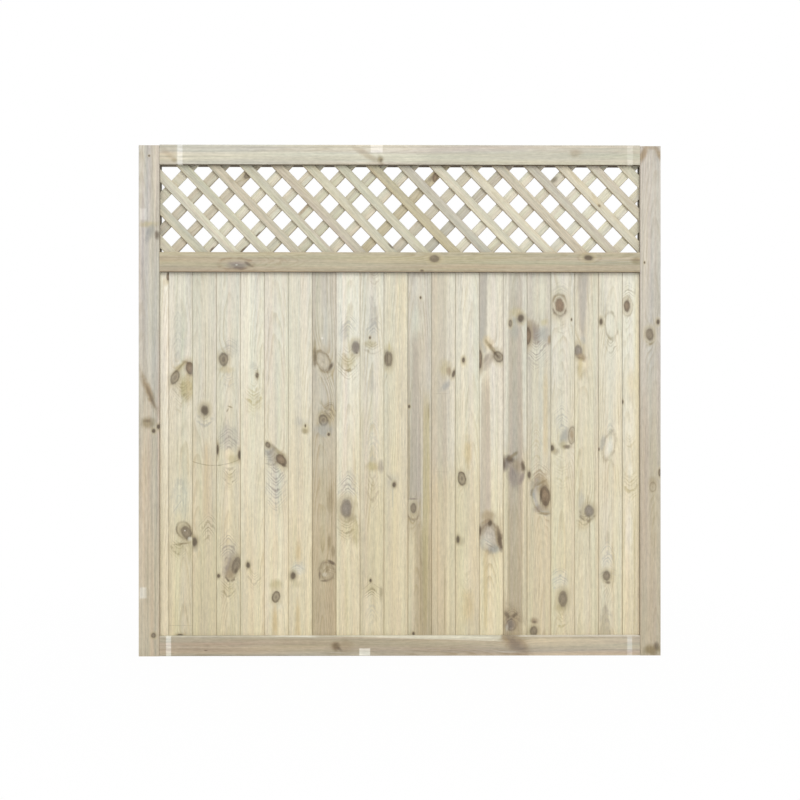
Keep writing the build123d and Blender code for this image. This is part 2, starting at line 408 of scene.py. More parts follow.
    Timber("straw", "oat", -25, 44, (
        Stain(153, 60, 560, 84, 84, "umber", 0.12, 3, 100),
        Stain(138, 60, 1345, 54, 52, "fawn", 0.55, 4, 40),
        Stain(138, 640, 1345, 54, 52, "dusk", 0.35, 4, 60),
        Stain(138, 60, 640, 54, 54, "rust", 0.35, 4, 60),
        Stain(178, 640, 1345, 26, 28, "cream", 0.5, 5, 60),
        Stain(178, 60, 640, 26, 26, "honey", 0.5, 5, 60),
        Patch(160, 1008, 50, 70, "olive", 0.6),
        Patch(172, 1000, 20, 34, "shade", 0.7),
        Patch(160, 948, 24, 48, "slate", 0.75, -40),
        Knot(188, 990, 10, 26, "dark", -15),
        Stain(142, 918, 920, 50, 50, "sap", 0.25, 3, 1),
        Stain(146, 643, 645, 50, 50, "sap", 0.25, 3, 1),
        Stain(132, 60, 500, 4, 3, "sap", 0.3, 2, 60),
        Stain(157, 80, 320, 5, 4, "sap", 0.5, 2, 60),
    )),
    Timber("ivory", "wheat", 10, 40, (
        Stain(237, 60, 560, 84, 84, "oat", 0.4, 3, 100),
        Patch(224, 1032, 34, 42, "honey", 0.55),
        Knot(223, 1038, 11, 19, "dark", 0, 1.6),
        Patch(238, 712, 30, 130, "rust", 0.8),
        Knot(217.6, 621, 25, 43, "ringed", 10, 1.2),
        Arc(217.6, 621, 27, 45, "bark", 0.6, 10, 0.12),
        Patch(214, 400, 34, 36, "sap", 0.35),
        Knot(203.7, 406.5, 11, 25, "dark"),
        Patch(238, 300, 44, 190, "honey", 0.8),
        Patch(238, 175, 44, 130, "rust", 0.85),
        Feather(234, 250, 44, 150, "olive", 0.5, -1.8, 20),
    )),
    Timber("ivory", "honey", -10, 42, (
        Stain(321, 700, 1345, 84, 84, "cream", 0.3, 3, 60),
        Stain(292, 1060, 1345, 26, 30, "dusk", 0.85, 5, 40),
        Stain(292, 1060, 1345, 24, 28, "slate", 0.35, 5, 40),
        Stain(301, 440, 985, 42, 28, "fawn", 1.0, 2, 50),
        Stain(299, 440, 960, 36, 26, "dusk", 0.55, 3, 60),
        Patch(312, 1096, 40, 56, "rust", 0.6, 20),
        Patch(304, 1030, 44, 110, "dusk", 0.95, -38),
        Patch(300, 1040, 14, 60, "plum", 0.5, -34),
        Patch(322, 1080, 16, 66, "sap", 0.85, 37),
        Knot(346, 1049, 31, 38, "ringed", 30),
        Patch(336, 1060, 7, 40, "bark", 0.6, 40),
        Knot(280, 1042, 16, 63, "brown"),
        Patch(308, 490, 40, 46, "rust", 0.55),
        Patch(312, 490, 60, 44, "shade", 0.75),
        Knot(317, 415, 76, 100, "bark", 0, 0.35),
        Patch(300, 394, 46, 60, "mist", 0.6),
        Patch(332, 372, 48, 34, "slate", 0.85),
        Patch(344, 420, 24, 80, "shade", 0.95, 12),
        Patch(351, 404, 17, 84, "bark", 0.9, 8),
        Patch(316, 466, 15, 26, "bark", 0.95),
        Patch(300, 470, 36, 14, "shade", 0.8, 30),
        Patch(281, 440, 10, 40, "bark", 0.8),
        Patch(312, 398, 50, 5, "slate", 0.6, -32),
        Patch(318, 384, 40, 5, "plum", 0.6, -28),
        Stain(301, 80, 360, 10, 18, "rust", 0.8, 3, 50),
    )),
    Timber("drab", "umber", 0, 34, (
        Stain(405, 60, 1345, 84, 84, "plum", 0.1, 3, 40),
        Stain(405, 640, 1175, 44, 44, "dusk", 0.75, 5, 60),
        Stain(405, 150, 640, 42, 44, "dusk", 0.35, 5, 60),
        Stain(371, 700, 1345, 17, 22, "cream", 0.6, 4, 60),
        Stain(371, 190, 700, 16, 17, "honey", 0.7, 4, 60),
        Stain(440, 700, 1345, 18, 18, "cream", 0.6, 4, 60),
        Stain(440, 60, 700, 18, 18, "honey", 0.7, 4, 60),
        Patch(409, 1245, 50, 120, "dusk", 0.6),
        Patch(409, 1205, 50, 40, "olive", 0.5),
        Patch(408, 1178, 40, 30, "slate", 0.85),
        Patch(404, 1140, 44, 66, "slate", 0.6),
        Knot(425, 1186, 22, 27, "dark"),
        Knot(388, 1168, 11, 24, "grey"),
        Patch(408, 668, 44, 60, "shade", 0.7),
        Patch(400, 628, 44, 90, "plum", 0.75, 16),
        Patch(373, 672, 30, 54, "plum", 0.95, -20),
        Patch(366, 676, 12, 50, "bark", 0.7),
        Patch(430, 626, 17, 60, "plum", 0.85, -20),
        Patch(388, 690, 30, 34, "bark", 0.9, 40),
        Patch(400, 704, 40, 14, "sap", 0.8, 40),
        Patch(396, 648, 14, 50, "plum", 0.5, 30),
        Patch(433, 662, 18, 50, "bark", 0.9, 10),
        Patch(394, 124, 84, 110, "shade", 0.6),
        Patch(388, 104, 36, 46, "plum", 0.9),
        Patch(390, 108, 22, 28, "bark", 0.35),
        Arc(391, 106, 34, 38, "bark", 0.5, 0, 0.16),
        Feather(394, 128, 70, 100, "bark", 0.4, 0.8, 12),
        Patch(376, 142, 16, 30, "bark", 0.65, 30),
        Patch(404, 140, 14, 34, "bark", 0.6, -50),
        Patch(376, 96, 10, 30, "bone", 0.4),
    )),
    Timber("drab", "oat", 15, 40, (
        Stain(496, 640, 1070, 70, 60, "straw", 0.6, 6, 60),
        Patch(490, 1260, 80, 170, "straw", 0.7),
        Feather(472, 1280, 40, 130, "dusk", 0.5, 2.0, 30),
        Patch(468, 1150, 50, 60, "shade", 0.5),
        Patch(468, 1132, 56, 84, "plum", 0.95, 20),
        Patch(504, 1128, 60, 60, "slate", 0.75),
        Patch(478, 1060, 60, 70, "mist", 0.6),
        Feather(479, 1078, 84, 150, "plum", 1.0, -1.0, 13),
        Patch(508, 1172, 34, 24, "olive", 0.6, 30),
        Knot(450, 1123, 20, 62, "brown"),
        Patch(526, 1110, 16, 38, "shade", 0.85),
        Stain(512, 700, 1000, 18, 14, "rust", 0.6, 6, 60),
        Knot(454.6, 634.5, 11, 25, "dark"),
        Feather(478, 745, 50, 200, "olive", 0.6, 1.8, 18),
        Feather(490, 640, 66, 90, "shade", 0.9, 1.0, 14),
        Patch(488, 600, 56, 90, "shade", 0.9, -14),
        Patch(484, 550, 30, 70, "mist", 0.6, 14),
        Arc(508, 554, 106, 66, "slate", 1.0, -74, 0.3, 0.1),
        Patch(490, 516, 44, 26, "plum", 0.8, 20),
        Arc(508, 554, 116, 86, "sap", 0.7, -74, 0.08, 0.0),
        Patch(506, 498, 48, 9, "sap", 0.7),
        Knot(511, 560, 32, 68, "brown", 4),
        Patch(496, 562, 8, 60, "bark", 0.8, -3),
        Patch(512, 536, 14, 44, "bark", 0.5, 6),
        Patch(496, 606, 46, 9, "sap", 0.7, 30),
        Knot(470, 84, 26, 34, "grey"),
        Patch(473, 120, 34, 26, "shade", 0.85),
        Patch(473, 116, 20, 12, "bark", 0.6),
    )),
    Timber("bone", "wheat", -8, 40, (
        Patch(566, 1275, 50, 60, "sage", 0.5),
        Feather(566, 1288, 66, 56, "slate", 0.6, 0.7, 12),
        Feather(570, 1155, 56, 60, "sap", 0.35, -0.8, 15),
        Knot(562, 1230, 50, 80, "eyed", 3, 0.5),
        Arc(562, 1230, 46, 72, "bark", 0.7, 0, 0.14, -0.3),
        Arc(562, 1231, 48, 78, "sap", 0.7, 180, 0.13, -0.3),
        Knot(603.6, 1181, 5, 9, "dark"),
        Feather(568, 960, 50, 130, "sap", 0.2, -1.8, 30),
        Patch(568, 815, 50, 80, "mist", 0.6),
        Feather(570, 838, 60, 110, "slate", 0.65, 1.0, 14),
        Patch(580, 766, 34, 66, "slate", 0.9, -20),
        Patch(574, 740, 30, 34, "olive", 0.6),
        Feather(570, 640, 64, 170, "olive", 0.55, -0.6, 16),
        Knot(606, 773, 24, 58, "pale", -5),
        Patch(606, 772, 18, 44, "shade", 0.8),
        Arc(606, 773, 26, 60, "bark", 0.3, -5, 0.12),
        Patch(588, 733, 28, 18, "bark", 0.75),
        Patch(548, 718, 26, 28, "sap", 0.5),
        Knot(535.5, 729, 14, 21, "dark"),
        Patch(562, 262, 64, 70, "mist", 0.6),
        Feather(563, 270, 64, 84, "slate", 0.85, 0.8, 13),
        Patch(562, 166, 40, 30, "olive", 0.7),
        Feather(569, 122, 60, 90, "olive", 0.9, -1.0, 16),
        Knot(573.5, 198, 31, 54, "grey", 0, 1.6),
    )),
    Timber("straw", "wheat", -20, 44, (
        Stain(657, 60, 560, 84, 84, "bone", 0.2, 3, 100),
        Stain(643, 1110, 1345, 14, 40, "dusk", 0.85, 8, 40),
        Stain(643, 1150, 1345, 14, 34, "slate", 0.3, 5, 30),
        Patch(645, 1026, 44, 60, "honey", 0.6),
        Patch(645, 1110, 24, 40, "slate", 0.6),
        Knot(627.5, 1071, 28, 40, "plum"),
        Patch(638, 1048, 44, 28, "shade", 0.85, -20),
        Patch(632, 1046, 24, 10, "bark", 0.5, -10),
        Patch(634, 1010, 22, 80, "olive", 0.7),
        Patch(645, 462, 44, 50, "rust", 0.45),
        Patch(640, 540, 26, 80, "slate", 0.4),
        Knot(665.6, 506.6, 32, 40, "plum", 0, 1.2),
        Arc(662, 504, 52, 62, "bark", 0.55, -20, 0.2, -0.1),
        Feather(650, 478, 60, 60, "sap", 0.6, -0.8, 14),
        Stain(668, 370, 480, 2, 3, "sap", 0.75, 1, 30),
        Stain(661, 528, 562, 2, 3.2, "sap", 0.6, 1, 8),
    )),
    Timber("ivory", "wheat", 2, 30, (
        Stain(741, 60, 560, 84, 84, "bone", 0.25, 3, 100),
        Stain(700, 60, 1345, 2, 2, "bark", 0.15, 0.8, 10),
        Patch(715, 1260, 30, 170, "slate", 0.25),
        Knot(708, 1174, 12, 24, "dark"),
        Patch(770, 1160, 24, 50, "sage", 0.6),
        Patch(743, 1160, 34, 88, "cream", 0.8, 8),
        Arc(743, 1160, 42, 98, "sap", 0.5, 8, 0.16),
        Feather(742, 1088, 56, 84, "sap", 0.6, -1.5, 16),
        Arc(737, 738, 40, 96, "sap", 0.5, -14, 0.2),
        Patch(736, 730, 30, 70, "cream", 0.9, -14),
        Patch(714, 746, 20, 60, "slate", 0.6, -14),
        Feather(740, 800, 44, 80, "slate", 0.5, 1.6, 16),
        Knot(700, 724, 5, 10, "dark"),
        Patch(730, 412, 18, 60, "sap", 0.3),
        Patch(731, 330, 44, 70, "mist", 0.4),
        Feather(730, 345, 56, 130, "slate", 0.8, 1.5, 19),
        Feather(728, 285, 70, 60, "slate", 0.7, 0.5, 11),
        Knot(727.5, 277.6, 25, 34, "grey", 0, 2.2),
        Patch(731, 255, 20, 12, "bark", 0.65),
        Feather(727, 130, 48, 170, "dusk", 0.8, 2.5, 40),
        Stain(722, 60, 185, 48, 4, "shade", 0.42, 5, 16),
    ), 1.3),
    Timber("cream", "honey", -15, 34, (
        Stain(784, 60, 1345, 2, 2, "bark", 0.22, 0.8, 10),
        Stain(838, 100, 1345, 26, 24, "honey", 0.7, 8, 100),
        Patch(818, 958, 40, 100, "honey", 0.7),
        Feather(803, 1276, 54, 80, "sap", 0.6, 0.7, 12),
        Knot(799, 1229, 21, 38, "brown", 0, 1.8),
        Arc(800, 1228, 40, 66, "sap", 0.4, 0, 0.12),
        Knot(784, 891, 6, 13, "dark"),
        Feather(808, 752, 44, 70, "olive", 0.7, -1.2, 14),
        Feather(810, 600, 66, 130, "olive", 0.9, -1.0, 18),
        Feather(806, 320, 50, 200, "honey", 0.8, -1.8, 30),
        Patch(803, 335, 30, 130, "barley", 0.7),
        Patch(806, 445, 26, 170, "milk", 0.6),
        Patch(810, 650, 20, 60, "milk", 0.7),
        Patch(813, 786, 24, 90, "milk", 0.4),
        Stain(826, 70, 480, 4, 6, "olive", 0.45, 2, 50),
        Stain(789, 330, 520, 3, 3, "olive", 0.35, 1.5, 50),
    )),
)

# Stiles: across is x, along is height
STILES = {
    "left_stile": Timber("ash", "clay", -30, 50, (
        Stain(-878, 800, 1900, 90, 90, "bone", 0.15, 4, 200),
        Stain(-878, -100, 800, 90, 90, "fawn", 0.35, 4, 200),
        Patch(-880, 930, 28, 150, "shade", 0.95, 22),
        Patch(-874, 914, 12, 100, "bark", 0.45, 22),
        Patch(-882, 820, 54, 44, "sap", 0.7),
        Patch(-884, 826, 26, 12, "bark", 0.45),
        Knot(-862, 791, 12, 14, "dark"),
        Knot(-846, 806, 10, 16, "dark"),
        Patch(-880, 1514, 64, 26, "olive", 0.7),
        Patch(-874, 1488, 70, 30, "slate", 1.0, 70),
        Patch(-850, 1478, 18, 34, "bark", 0.75),
        Knot(-863, 76, 16, 17, "grey"),
        Knot(-878, 1754, 6, 6, "dark"),
        # Painted shade along the stile's inner edge, where it stands proud of the boards
        Stain(-842, 0, 1790, 2.6, 2.6, "bark", 0.45, 1, 10),
        Stain(-899, 1528, 1567, 24, 24, "chalk", 0.5, 3, 4, False),
        Stain(-899, 203, 242, 24, 24, "chalk", 0.6, 3, 4, False),
    ), 0.9, 1.6),
    "right_stile": Timber("ash", "clay", 20, 50, (
        Stain(878, -100, 800, 90, 90, "mud_rail", 0.3, 4, 200),
        Knot(876, 1130, 25, 40, "grey", 5, 1.2),
        Arc(878, 1128, 40, 62, "sap", 0.8, 0, 0.12, -0.75),
        Knot(905.6, 1174, 11, 18, "dark"),
        Patch(886, 612, 34, 40, "shade", 0.5),
        Knot(887, 594, 22, 32, "pale", 0, 0.8),
        Knot(911, 644, 8, 24, "grey"),
        Patch(853, 1760, 26, 76, "shade", 0.95, -24),
        Patch(911, 1762, 24, 50, "shade", 0.9, 30),
        Patch(884, 1785, 64, 18, "shade", 0.6),
        Knot(858, 1382, 5, 8, "dark"),
        Patch(882, 22, 70, 44, "sap", 0.9),
        Patch(900, 36, 18, 34, "bark", 0.6),
        # Painted shade along the stile's inner edge, where it stands proud of the boards
        Stain(842, 0, 1790, 2.6, 2.6, "bark", 0.45, 1, 10),
    ), 0.9, 1.3),
}

# Rails: across is height, along is x
RAILS = {
    "top_rail": Timber("bone_rail", "bone_rail", 20, 45, (
        Stain(1756, -860, 80, 90, 90, "cream", 0.2, 4, 80),
        Stain(1756, 80, 860, 90, 90, "dusk_slat", 0.6, 4, 80),
        Patch(1754, -112, 26, 124, "shade", 0.5, 32),
        Patch(1740, -66, 30, 26, "sap", 0.75),
        Patch(1736, -64, 16, 12, "bark", 0.6),
        Patch(1757, -808, 24, 66, "shade", 0.55, 38),
        Patch(1736, -788, 16, 22, "sap", 0.8),
        Patch(1763, 618, 34, 50, "shade", 0.5),
        # Painted shade under the top rail: a dark line over its underside and the foot of its front
        Stain(1720, -842, 842, 4, 4, "bark", 0.95, 0.6, 4),
        Stain(1756, -842, -782, 80, 80, "clay", 0.5, 6, 6),
        Stain(1756, -779.5, -761.5, 80, 80, "chalk", 0.9, 2, 1.5, False),
        Stain(1779, -103, -61, 30, 30, "chalk", 0.9, 2, 1.5, False),
        Stain(1756, 797, 817, 80, 80, "chalk", 0.4, 2, 2.5, False),
    ), 1.0, 1.5),
    "middle_rail": Timber("oat_rail", "oat_rail", 25, 40, (
        Knot(1372, -569, 30, 80, None, 0, 0.4),
        Feather(1384, -440, 60, 280, "shade", 0.7, 2.6, 40),
        Arc(1373, -576, 40, 116, "shade", 0.9, 0, 0.16),
        Patch(1369, -566, 30, 80, "plum", 0.9),
        Patch(1358, -562, 12, 66, "bark", 0.5),
        Patch(1372, -528, 12, 34, "bark", 0.6, 30),
        Patch(1370, -570, 5, 8, "chalk", 0.6),
        Knot(1392, 123, 24, 34, "grey", 0, 0.5),
        Patch(1390, 126, 18, 26, "bark", 0.35),
        Arc(1396, 667, 36, 76, "shade", 0.5, 0, 0.14),
        Knot(1396, 663, 19, 29, "dark", 0, 0.6),
        Patch(1386, 830, 30, 38, "sap", 0.7),
        Knot(1350, 79, 8, 12, "dark"),
        # Painted shade under the middle rail: a dark line over its underside and the foot of its front
        Stain(1347, -842, 842, 7, 7, "shade", 0.6, 3, 5),
        Stain(1344, -842, 842, 4, 4, "bark", 0.95, 0.6, 4),
    ), 1.2, 1.7),
    "bottom_rail": Timber("mud_rail", "mud_rail", -30, 40, (
        Stain(35, 450, 842, 80, 80, "clay", 0.9, 4, 40),
        # Painted highlight: a pale line along the top arris where light from above falls, across the whole
        # width and brighter over two stretches
        Stain(71, -842, 842, 7, 7, "wane", 0.6, 1.5, 8),
        Stain(71, -450, -296, 4, 11, "chalk", 0.7, 1.5, 24),
        Stain(71, 420, 842, 9, 9, "chalk", 0.6, 1.5, 20),
        Stain(72, -230, 366, 4, 44, "wane", 0.85, 1.5, 8, False),
        Stain(28, -260, 300, 40, 40, "plum", 0.15, 6, 60),
        Patch(36, -188, 60, 60, "shade", 0.45),
        Patch(34, -224, 34, 38, "shade", 1.0),
        Patch(33, -222, 30, 32, "bark", 0.6),
        Patch(25, -210, 14, 24, "bark", 0.55, 40),
        Knot(40, 404, 44, 60, None),
        Patch(39, 410, 60, 116, "shade", 1.0, 33),
        Patch(40, 406, 44, 90, "plum", 0.6, 33),
        Patch(46, 400, 26, 60, "bark", 0.3, 33),
        Patch(58, 372, 16, 40, "shade", 0.8, 40),
        Stain(14, 330, 420, 4, 4, "wane", 0.5, 3, 20),
        Patch(20, -678, 5, 16, "bark", 0.7),
        Stain(35, -819, -801.5, 80, 80, "chalk", 0.9, 2, 1.5, False),
        Stain(14, -143, -105, 26, 26, "chalk", 0.9, 2, 1.5, False),
        Stain(35, 797, 814.5, 80, 80, "chalk", 0.6, 2, 2, False),
    ), 1.2, 1.7),
}

# Tones of the slats from left to right, as the battens came to hand, and the few marks that stand out.
# Across and along a slat are from its own middle.
FRONT_SLAT_TONES = (
    "moss", "chaff", "moss", "rose", "moss", "rose", "moss", "moss",
    "tan", "dusk_slat", "sand", "sand", "rose", "dusk_slat", "sand", "rose",
)
BACK_SLAT_TONES = (
    "rose", "rose", "chaff", "chaff", "moss", "moss", "sand", "tan",
    "rose", "dusk_slat", "chaff", "sand", "chaff", "chaff", "chaff",
)
SLAT_MARKS = {
    "front_slat_07": (Patch(13, -190, 8, 30, "bark", 0.8),),
    "front_slat_15": (Knot(0, 19, 7, 10, "dark"), Patch(0, 40, 14, 50, "rust", 0.4)),
    "back_slat_02": (Knot(3, 174, 20, 36, "grey"), Patch(6, 178, 10, 16, "bark", 0.6)),
    "back_slat_03": (Patch(13, -180, 8, 24, "bark", 0.8),),
    "back_slat_04": (Patch(14, -114, 9, 46, "bark", 0.9), Patch(14, -184, 9, 44, "bark", 0.95)),
    "back_slat_05": (Patch(-10, -10, 12, 70, "shade", 0.8),),
    "back_slat_08": (Knot(4, 163, 18, 34, "brown", 30), Patch(-4, 150, 16, 36, "bark", 0.5)),
    "back_slat_12": (Patch(-8, 140, 18, 36, "bark", 0.7),),
}

# Past half a slat's length, so that a stain goes from end to end
SLAT_REACH = 300

# Edges of a slat, a little dark where sawn, the lower one first and darker still as painted shade:
# millimetres from its middle line, width and cover
SLAT_SAWN_AND_SHADED_EDGES = ((15.6, 3.0, 0.75), (-15.8, 2.2, 0.35))
SLAT_EDGE_SHADE_TONE = "shade"
SLAT_EDGE_SOFTNESS = (1.2, 20)

# Where the pith lay that the slats were sawn beside: how far it swings aside, by what step from one slat to
# the next, and how deep it is. Then how strong their rings and streaks are.
SLAT_PITH_SIDE = 14
SLAT_PITH_STEP = 2.3
SLAT_PITH_DEPTH = 22
SLAT_RINGS = 1.0
SLAT_STREAKS = 1.3

# The short slats across the corners, darker at the left
CORNER_SLATS = Timber("sand", "sand", 6, SLAT_PITH_DEPTH, (
    Stain(-716, -SLAT_REACH, SLAT_REACH, 140, 140, "tan", 0.6, 4, 20),
), 0.8)

# The lattice as the CAD part has it, in millimetres: the slats' slope, their spacing, where one slat of each
# layer crosses mid-height, and how many whole slats lie to the left of that one
SLAT_SLOPE = math.radians(46.2)
SLAT_SPACING = 111.1
FRONT_SLAT_OFFSET = 47.6
BACK_SLAT_OFFSET = 9.2
FRONT_SLATS_BEFORE = 8
BACK_SLATS_BEFORE = 7

# First grain seed of each kind of piece, and how far apart seeds lie in the wood
BOARD_SEED = 0
STILE_SEED = 30
RAIL_SEED = 40
FRONT_SLAT_SEED = 60
BACK_SLAT_SEED = 100
CORNER_SLAT_SEED = 150
SEED_STEP = 1000.0

# Painted shade and grime deep in the grooves and joints: how far from the panel's middle plane it starts and
# is thickest, in millimetres, and its cover. It keeps clear of the panel's outer edges.
GROOVE_SHADE_AND_GRIME = (8.7, 8.2, 0.85)
JOINT_SHADE_AND_GRIME = (7.95, 7.1, 0.06)
EDGE_MARGIN = 10.0


def gamma_tone(name, description, red, green, blue):
    """A colour a user may change, given as it looks on a screen."""
    return bpy.props.FloatVectorProperty(
        name=name,
        description=description,
        subtype="COLOR_GAMMA",
        size=3,
        min=0.0,
        max=1.0,
        default=(red / 255, green / 255, blue / 255),
    )


def length(name, description, metres):
    """A length a user may change."""
    return bpy.props.FloatProperty(name=name, description=description, default=metres, unit="LENGTH")


def share(name, description, part):
    """A share of one that a user may change."""
    return bpy.props.FloatProperty(name=name, description=description, default=part, subtype="FACTOR")


class FenceTones(bpy.types.PropertyGroup):
    """Tones of the treated pine and what marks it"""

    cream: gamma_tone("Cream", "Palest boards, near the top", 225, 221, 205)
    milk: gamma_tone("Milk", "Palest wood, and the ripped board at the left, near the top", 235, 230, 212)
    barley: gamma_tone("Barley", "Ripped board at the left, near the foot", 231, 220, 192)
    ivory: gamma_tone("Ivory", "Pale boards, near the top", 219, 214, 197)
    bone: gamma_tone("Bone", "Cooler boards, near the top", 217, 213, 197)
    straw: gamma_tone("Straw", "Warmer boards, near the top", 211, 206, 186)
    drab: gamma_tone("Drab", "Grey boards, near the top", 200, 195, 180)
    honey: gamma_tone("Honey", "Palest boards, near the foot", 223, 212, 182)
    wheat: gamma_tone("Wheat", "Middling boards, near the foot", 216, 206, 176)
    oat: gamma_tone("Oat", "Darker boards, near the foot", 210, 199, 169)
    umber: gamma_tone("Umber", "Grey boards, near the foot", 190, 176, 147)
    ash: gamma_tone("Ash", "Stiles, near the top", 194, 188, 176)
    clay: gamma_tone("Clay", "Stiles, near the foot", 195, 183, 160)
    bone_rail: gamma_tone("Top Rail", "The top rail", 197, 192, 175)
    oat_rail: gamma_tone("Middle Rail", "The middle rail", 183, 173, 148)
    mud_rail: gamma_tone("Bottom Rail", "The bottom rail", 183, 172, 152)
    sand: gamma_tone("Sand", "Plain slats", 205, 199, 178)
    moss: gamma_tone("Moss", "Greenish slats", 198, 194, 173)
    sage: gamma_tone("Sage", "Grey-green patches", 206, 206, 190)
    rose: gamma_tone("Rose", "Pinkish slats", 197, 189, 169)
    chaff: gamma_tone("Chaff", "Palest slats", 212, 207, 187)
    tan: gamma_tone("Tan", "Darker slats", 187, 178, 151)
    dusk_slat: gamma_tone("Dusk Slat", "Grey slats", 188, 183, 167)
    olive: gamma_tone("Olive", "Resin round the knots", 188, 176, 136)
    rust: gamma_tone("Rust", "Orange stains", 206, 189, 150)
    dusk: gamma_tone("Dusk", "Grey-purple stains along the grain", 183, 174, 159)
    slate: gamma_tone("Slate", "Blue-grey stains", 168, 166, 158)
    fawn: gamma_tone("Fawn", "Pink-brown heartwood", 206, 194, 172)
    # Also the painted shade under the rails and along the stiles' inner edges
    bark: gamma_tone("Bark", "Cracks and the dark sides of knots", 98, 84, 68)
    # Also the painted highlight along the bottom rail's top arris
    chalk: gamma_tone("Chalk", "Pale marks left by the straps", 226, 222, 210)
    sap: gamma_tone("Sap", "Dark lines round the knots", 142, 128, 97)
    plum: gamma_tone("Plum", "Purple-grey patches", 148, 137, 127)
    # Also the painted shade along the slats' lower edges and under the middle rail
    shade: gamma_tone("Shade", "Brown patches", 160, 143, 117)
    mist: gamma_tone("Mist", "Pale blue-grey patches", 212, 209, 193)
    # Also the painted highlight along the bottom rail's top arris
    wane: gamma_tone("Wane", "Where the bark was, on the bottom rail", 205, 201, 184)
    late_wood: gamma_tone("Late Wood", "Dark side of each ring", 200, 184, 146)
    end_grain: gamma_tone("End Grain", "Sawn ends of the stiles", 186, 170, 140)
    # Grime, and painted shade, deep in the joints and grooves
    grime: gamma_tone("Grime", "Dirt in the joints and grooves", 92, 80, 61)
    zinc: gamma_tone("Zinc", "Galvanised nails and staples", 186, 188, 190)


class FenceGrain(bpy.types.PropertyGroup):
    """How the pine grew and was planed"""

    ring_spacing: length("Ring Spacing", "From one year's ring to the next", 0.0042)
    relief: length("Relief", "How far the grain stands up", 0.0005)
    ring_contrast: share("Ring Contrast", "How dark the late wood is", 0.28)
    streak_contrast: share("Streak Contrast", "How much the streaks differ", 0.46)
    roughness: share("Roughness", "Of planed dry pine", 0.68)


class FenceStaples(bpy.types.PropertyGroup):
    """Staples behind the lattice"""

    crown: length("Crown", "Width over the legs", 0.0107)
    wire: length("Wire", "Thickness of the wire", 0.0012)
    leg: length("Leg", "Length of a leg", 0.013)
    proud: length("Proud", "How far the crown stands off the slat", 0.0006)


class FenceStage(bpy.types.PropertyGroup):
    """Camera, light and floor"""

    camera_distance: length("Camera Distance", "From the middle of the panel", 3.8225)
    camera_side: length("Camera Side", "How far to the right of the panel's middle", -0.0003)
    camera_height: length("Camera Height", "Above the floor", 0.8968)
    camera_turn: bpy.props.FloatProperty(
        name="Camera Turn",
        description="How far round to the left of the panel's front",
        default=math.radians(0.45),
        subtype="ANGLE",
    )
    lens: bpy.props.FloatProperty(name="Lens", description="Focal length", default=48.8, unit="CAMERA")
    floor_radius: length("Floor Radius", "Of the round floor", 12.0)
    shadow_reach: length("Shadow Reach", "How far out the floor shows shadow", 2.4)
    dome: bpy.props.FloatProperty(name="Dome", description="Strength of the sky dome", default=0.745)
    key_power: bpy.props.FloatProperty(
        name="Key Power", description="Of the large soft lamp", default=88.0, unit="POWER"
    )
    key_size: length("Key Size", "Width of the large soft lamp", 3.2)


def linear(tone):
    """A screen tone as the linear colour that shaders take."""
    return tuple(
        part / 12.92 if part <= 0.04045 else ((part + 0.055) / 1.055) ** 2.4 for part in tone
    ) + (1.0,)


def screen_tone(red, green, blue):
    """A tone given in screen steps from 0 to 255, as a linear colour."""
    return linear((red / 255, green / 255, blue / 255))


class Wiring:
    """Adds nodes to one shader tree and links them."""

    def __init__(self, tree):
        self.tree = tree

    def feed(self, socket, value):
        if isinstance(value, bpy.types.NodeSocket):
            self.tree.links.new(value, socket)
        else:
            socket.default_value = value

    def node(self, kind, inputs=None, **settings):
        node = self.tree.nodes.new(kind)
        for setting, value in settings.items():
            setattr(node, setting, value)
        for name, value in (inputs or {}).items():
            self.feed(node.inputs[name], value)
        return node

    def group(self, name, inputs):
        node = self.node("ShaderNodeGroup", node_tree=bpy.data.node_groups[name])
        for socket, value in inputs.items():
            self.feed(node.inputs[socket], value)
        return node.outputs

    def math(self, operation, *values, clamp=False):
        node = self.node("ShaderNodeMath", operation=operation, use_clamp=clamp)
        for socket, value in zip(node.inputs, values):
            self.feed(socket, value)
        return node.outputs[0]

    def vector(self, operation, first, second):
        node = self.node("ShaderNodeVectorMath", operation=operation)
        self.feed(node.inputs[0], first)
        self.feed(node.inputs[1], second)
        return node.outputs[0]

    def split(self, vector):
        return self.node("ShaderNodeSeparateXYZ", {"Vector": vector}).outputs

    def join(self, x, y, z):
        return self.node("ShaderNodeCombineXYZ", {"X": x, "Y": y, "Z": z}).outputs[0]

    def ease(self, value, low, high, at_low=0.0, at_high=1.0):
        """A smooth step from one value to another."""
        node = self.node(
            "ShaderNodeMapRange",
            {"Value": value, "From Min": low, "From Max": high, "To Min": at_low, "To Max": at_high},
            interpolation_type="SMOOTHSTEP",
        )
        return node.outputs["Result"]

    def noise(self, place, stretch, detail=2.0, roughness=0.5):
        """Noise about zero, its grains 1 / stretch long each way."""
        node = self.node(
            "ShaderNodeTexNoise",
            {
                "Vector": self.vector("MULTIPLY", place, stretch),
                "Scale": 1.0,
                "Detail": detail,
                "Roughness": roughness,
            },
        )
        return self.math("SUBTRACT", node.outputs["Fac"], 0.5)

    def mix(self, factor, first, second, blend="MIX"):
        """One colour into another, by the Mix node's sockets for colours."""
        node = self.node("ShaderNodeMix", data_type="RGBA", blend_type=blend)
        self.feed(node.inputs[0], factor)
        self.feed(node.inputs[6], first)
        self.feed(node.inputs[7], second)
        return node.outputs[2]

    def show(self, shader, output="ShaderNodeOutputMaterial"):
        """Sends a shader to the tree's output."""
        self.node(output, {"Surface": shader.outputs[0]})


def new_material(name):
    """An empty material and its wiring."""
    material = bpy.data.materials.new(name)
    material.use_nodes = True
    material.node_tree.nodes.clear()
    return material, Wiring(material.node_tree)


